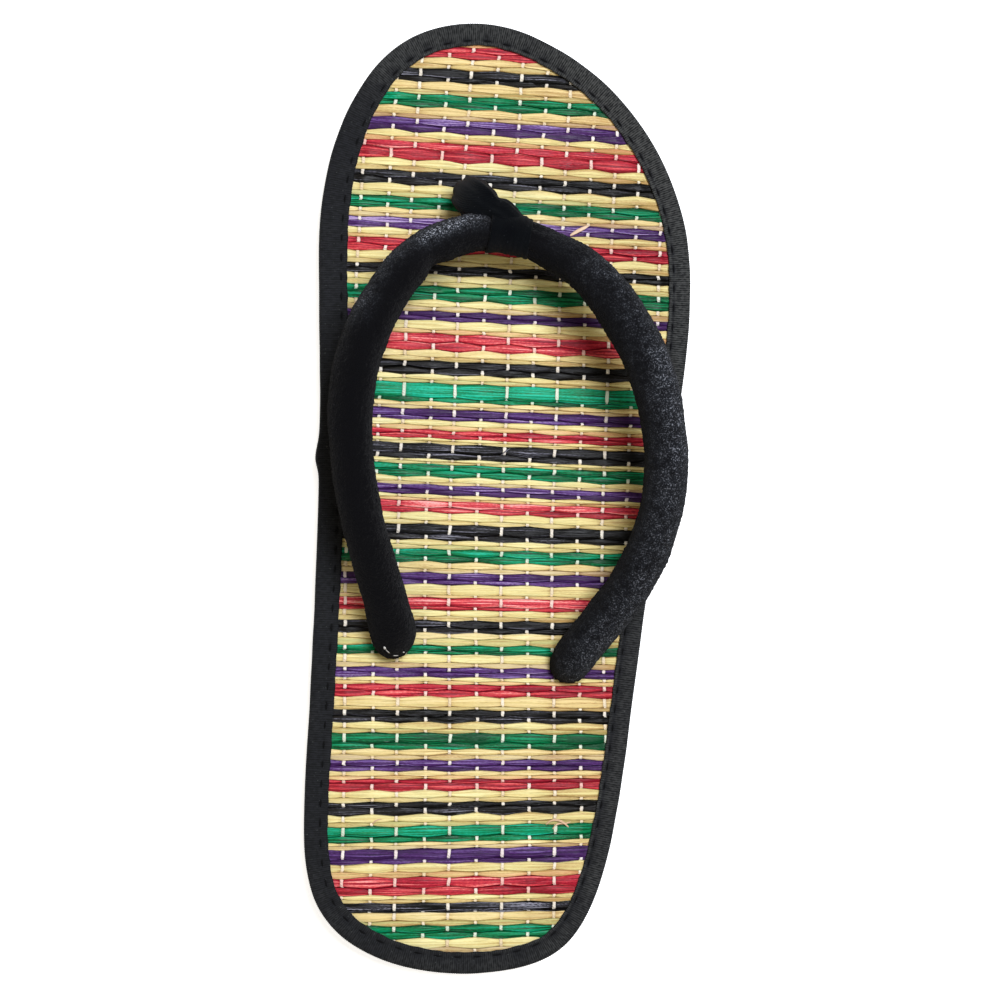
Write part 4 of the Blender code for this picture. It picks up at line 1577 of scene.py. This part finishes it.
def make_post():
    """The gathered neck: a tube along its route, with folds running down it.

    At the knob its section is squarish: radius / (cos^4 + sin^4)^(1/4) of the angle.
    """
    line, way = route_line(POST_ROUTE, POST_ROWS)[:2]
    angle = ring_angles(POST_FACETS)
    folds = NECK_FOLDS[0] * np.sin(7 * angle + 0.8 * np.sin(way / 3.0)[:, None])
    folds = folds + NECK_FOLDS[1] * np.sin(13 * angle + way[:, None] / 4.0)
    square = (np.cos(angle) ** 4 + np.sin(angle) ** 4) ** -0.25 - 1
    knob = bell(way - KNOB_PLACE, KNOB_LENGTH)[:, None]
    waist = NECK_DEPTH * bell(way - NECK_PLACE, NECK_LENGTH)[:, None]
    radius = line[:, 3:4] - 0.15 - waist + folds * smooth_step(way / 3.0)[:, None]
    radius = radius * (1 + KNOB_SQUARE * square * knob)
    radius[-1] *= 0.8
    tube = (ring_points(line[:, None], radius, angle), way,
            np.linspace(0.0, 30.0, POST_FACETS + 1), 0.5, PLAIN)
    return join_tubes("toe_post_neck", [tube], twill)


def make_loop():
    """The loop round the strap: outer wall, rolled ends and inner wall, as rings of a sleeve.

    Its ends stay square to its middle although the strap bends: the way along the strap is divided
    by 1 + (radius / bend) x cos(angle). Two seams run along it where the strip is folded over.
    """
    line, way, knots = route_line(STRAP_ROUTE, 4000)
    reach = np.linspace(LOOP_START, LOOP_END, 40)
    outer = LOOP_CLEARANCE + LOOP_WALL - LOOP_THIN_END * smooth_step((reach - LOOP_END + 4) / 4)
    creases = 0.09 * np.sin(reach * 3.9) * smooth_step((reach + 0.5) / 2.5)
    creases = creases + 0.05 * np.sin(reach * 1.7 + 1.0)
    profile = np.concatenate((
        np.stack((reach, outer + creases), axis=-1),
        [(LOOP_END + 0.2, LOOP_CLEARANCE + 0.05)],
        np.stack((reach[::-1][[0, 13, 26, 39]], np.full(4, LOOP_CLEARANCE)), axis=-1),
        [(LOOP_START - 0.2, LOOP_CLEARANCE + 0.45)],
    ))
    angle = ring_angles(POST_FACETS)
    straight = 1 + LOOP_STRAP_RADIUS / LOOP_BEND * np.cos(angle)
    here = line_at(knots[STRAP_MIDDLE_ROW] + profile[:, 0] / straight[:, None], line, way)
    seam = sum(SEAM_HEIGHT * bell(angle - spot, SEAM_REACH) for spot in LOOP_SEAMS)
    on_top = (np.arange(len(profile)) < len(reach))
    rings = ring_points(here, here[..., 3] + profile[:, 1] + seam[:, None] * on_top,
                        angle[:, None])
    along = np.linspace(0.0, 36.0, POST_FACETS + 1)
    across = np.append(profile[:, 0], profile[0, 0])
    return ring_mesh("toe_post_loop", rings, along, across, twill)


for piece in (make_post(), make_loop()):
    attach(piece, "root")
    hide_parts("toe_post")

# ----------------------------------------------------------
# Studio: a pale floor, soft light from above the toe and a camera almost straight above the heel's
# inner side.

CAMERA_PLACE = (-44.26, -4.55, 563.2)
CAMERA_LENS = 76.94
CAMERA_UP = (-0.0419, 0.9991, 0.0)
FLOOR_HALF = 1500.0
FLOOR_DROP = 0.1


def make_floor():
    """A wide flat sheet of pale card on a light table, just under the sole."""
    made, tree = new_finish("floor_card", 0.9, emission_strength=0.75)
    base = coats(tree, (244, 244, 244), (lint_parts(tree, 2.0, 90.0)["Mottle"], (247, 247, 247)))
    half, drop = FLOOR_HALF * MM, -FLOOR_DROP * MM
    mesh = bpy.data.meshes.new("floor")
    mesh.from_pydata([(-half, -half, drop), (half, -half, drop), (half, half, drop),
                      (-half, half, drop)], [], [(0, 1, 2, 3)])
    mesh.materials.append(dress(made, base_color=base, emission_color=base))
    floor = add_object("floor", mesh)


def add_light(name, place, size, power, tint=(1.0, 1.0, 1.0)):
    """A square soft box at a place in millimetres, turned to the middle of the shoe."""
    lamp = bpy.data.lights.new(name, "AREA")
    lamp.size = size * MM
    lamp.energy = power
    lamp.color = tint
    box = add_object(name, lamp)
    box.location = Vector(place) * MM
    box.rotation_euler = (-Vector(place)).to_track_quat("-Z", "Y").to_euler()


def add_camera():
    """Looks at the middle of the shoe from almost straight above, toe up in the picture."""
    data = bpy.data.cameras.new("camera")
    data.lens = CAMERA_LENS
    data.sensor_width = 36.0
    camera = add_object("camera", data)
    place = Vector(CAMERA_PLACE) * MM
    aim = (cad_low + cad_high) / 2
    back = (place - aim).normalized()
    up = Vector(CAMERA_UP)
    right = up.cross(back).normalized()
    up = back.cross(right)
    camera.location = place
    camera.rotation_mode = "QUATERNION"
    turn = Matrix((right, up, back)).transposed()
    camera.rotation_quaternion = turn.to_quaternion()
    bpy.context.scene.camera = camera


make_floor()
add_camera()
add_light("soft_box_toe", (150.0, 255.0, 955.0), 330.0, 11.0, (0.97, 1.0, 1.08))
add_light("soft_box_side", (-400.0, -500.0, 900.0), 700.0, 2.4, (1.0, 0.86, 0.62))
world = bpy.data.worlds.new("room")
world.use_nodes = True
backdrop = world.node_tree.nodes["Background"].inputs
backdrop["Color"].default_value = (1.0, 0.96, 0.86, 1.0)
backdrop["Strength"].default_value = 0.20
bpy.context.scene.world = world
bpy.context.scene.view_settings.view_transform = "Standard"
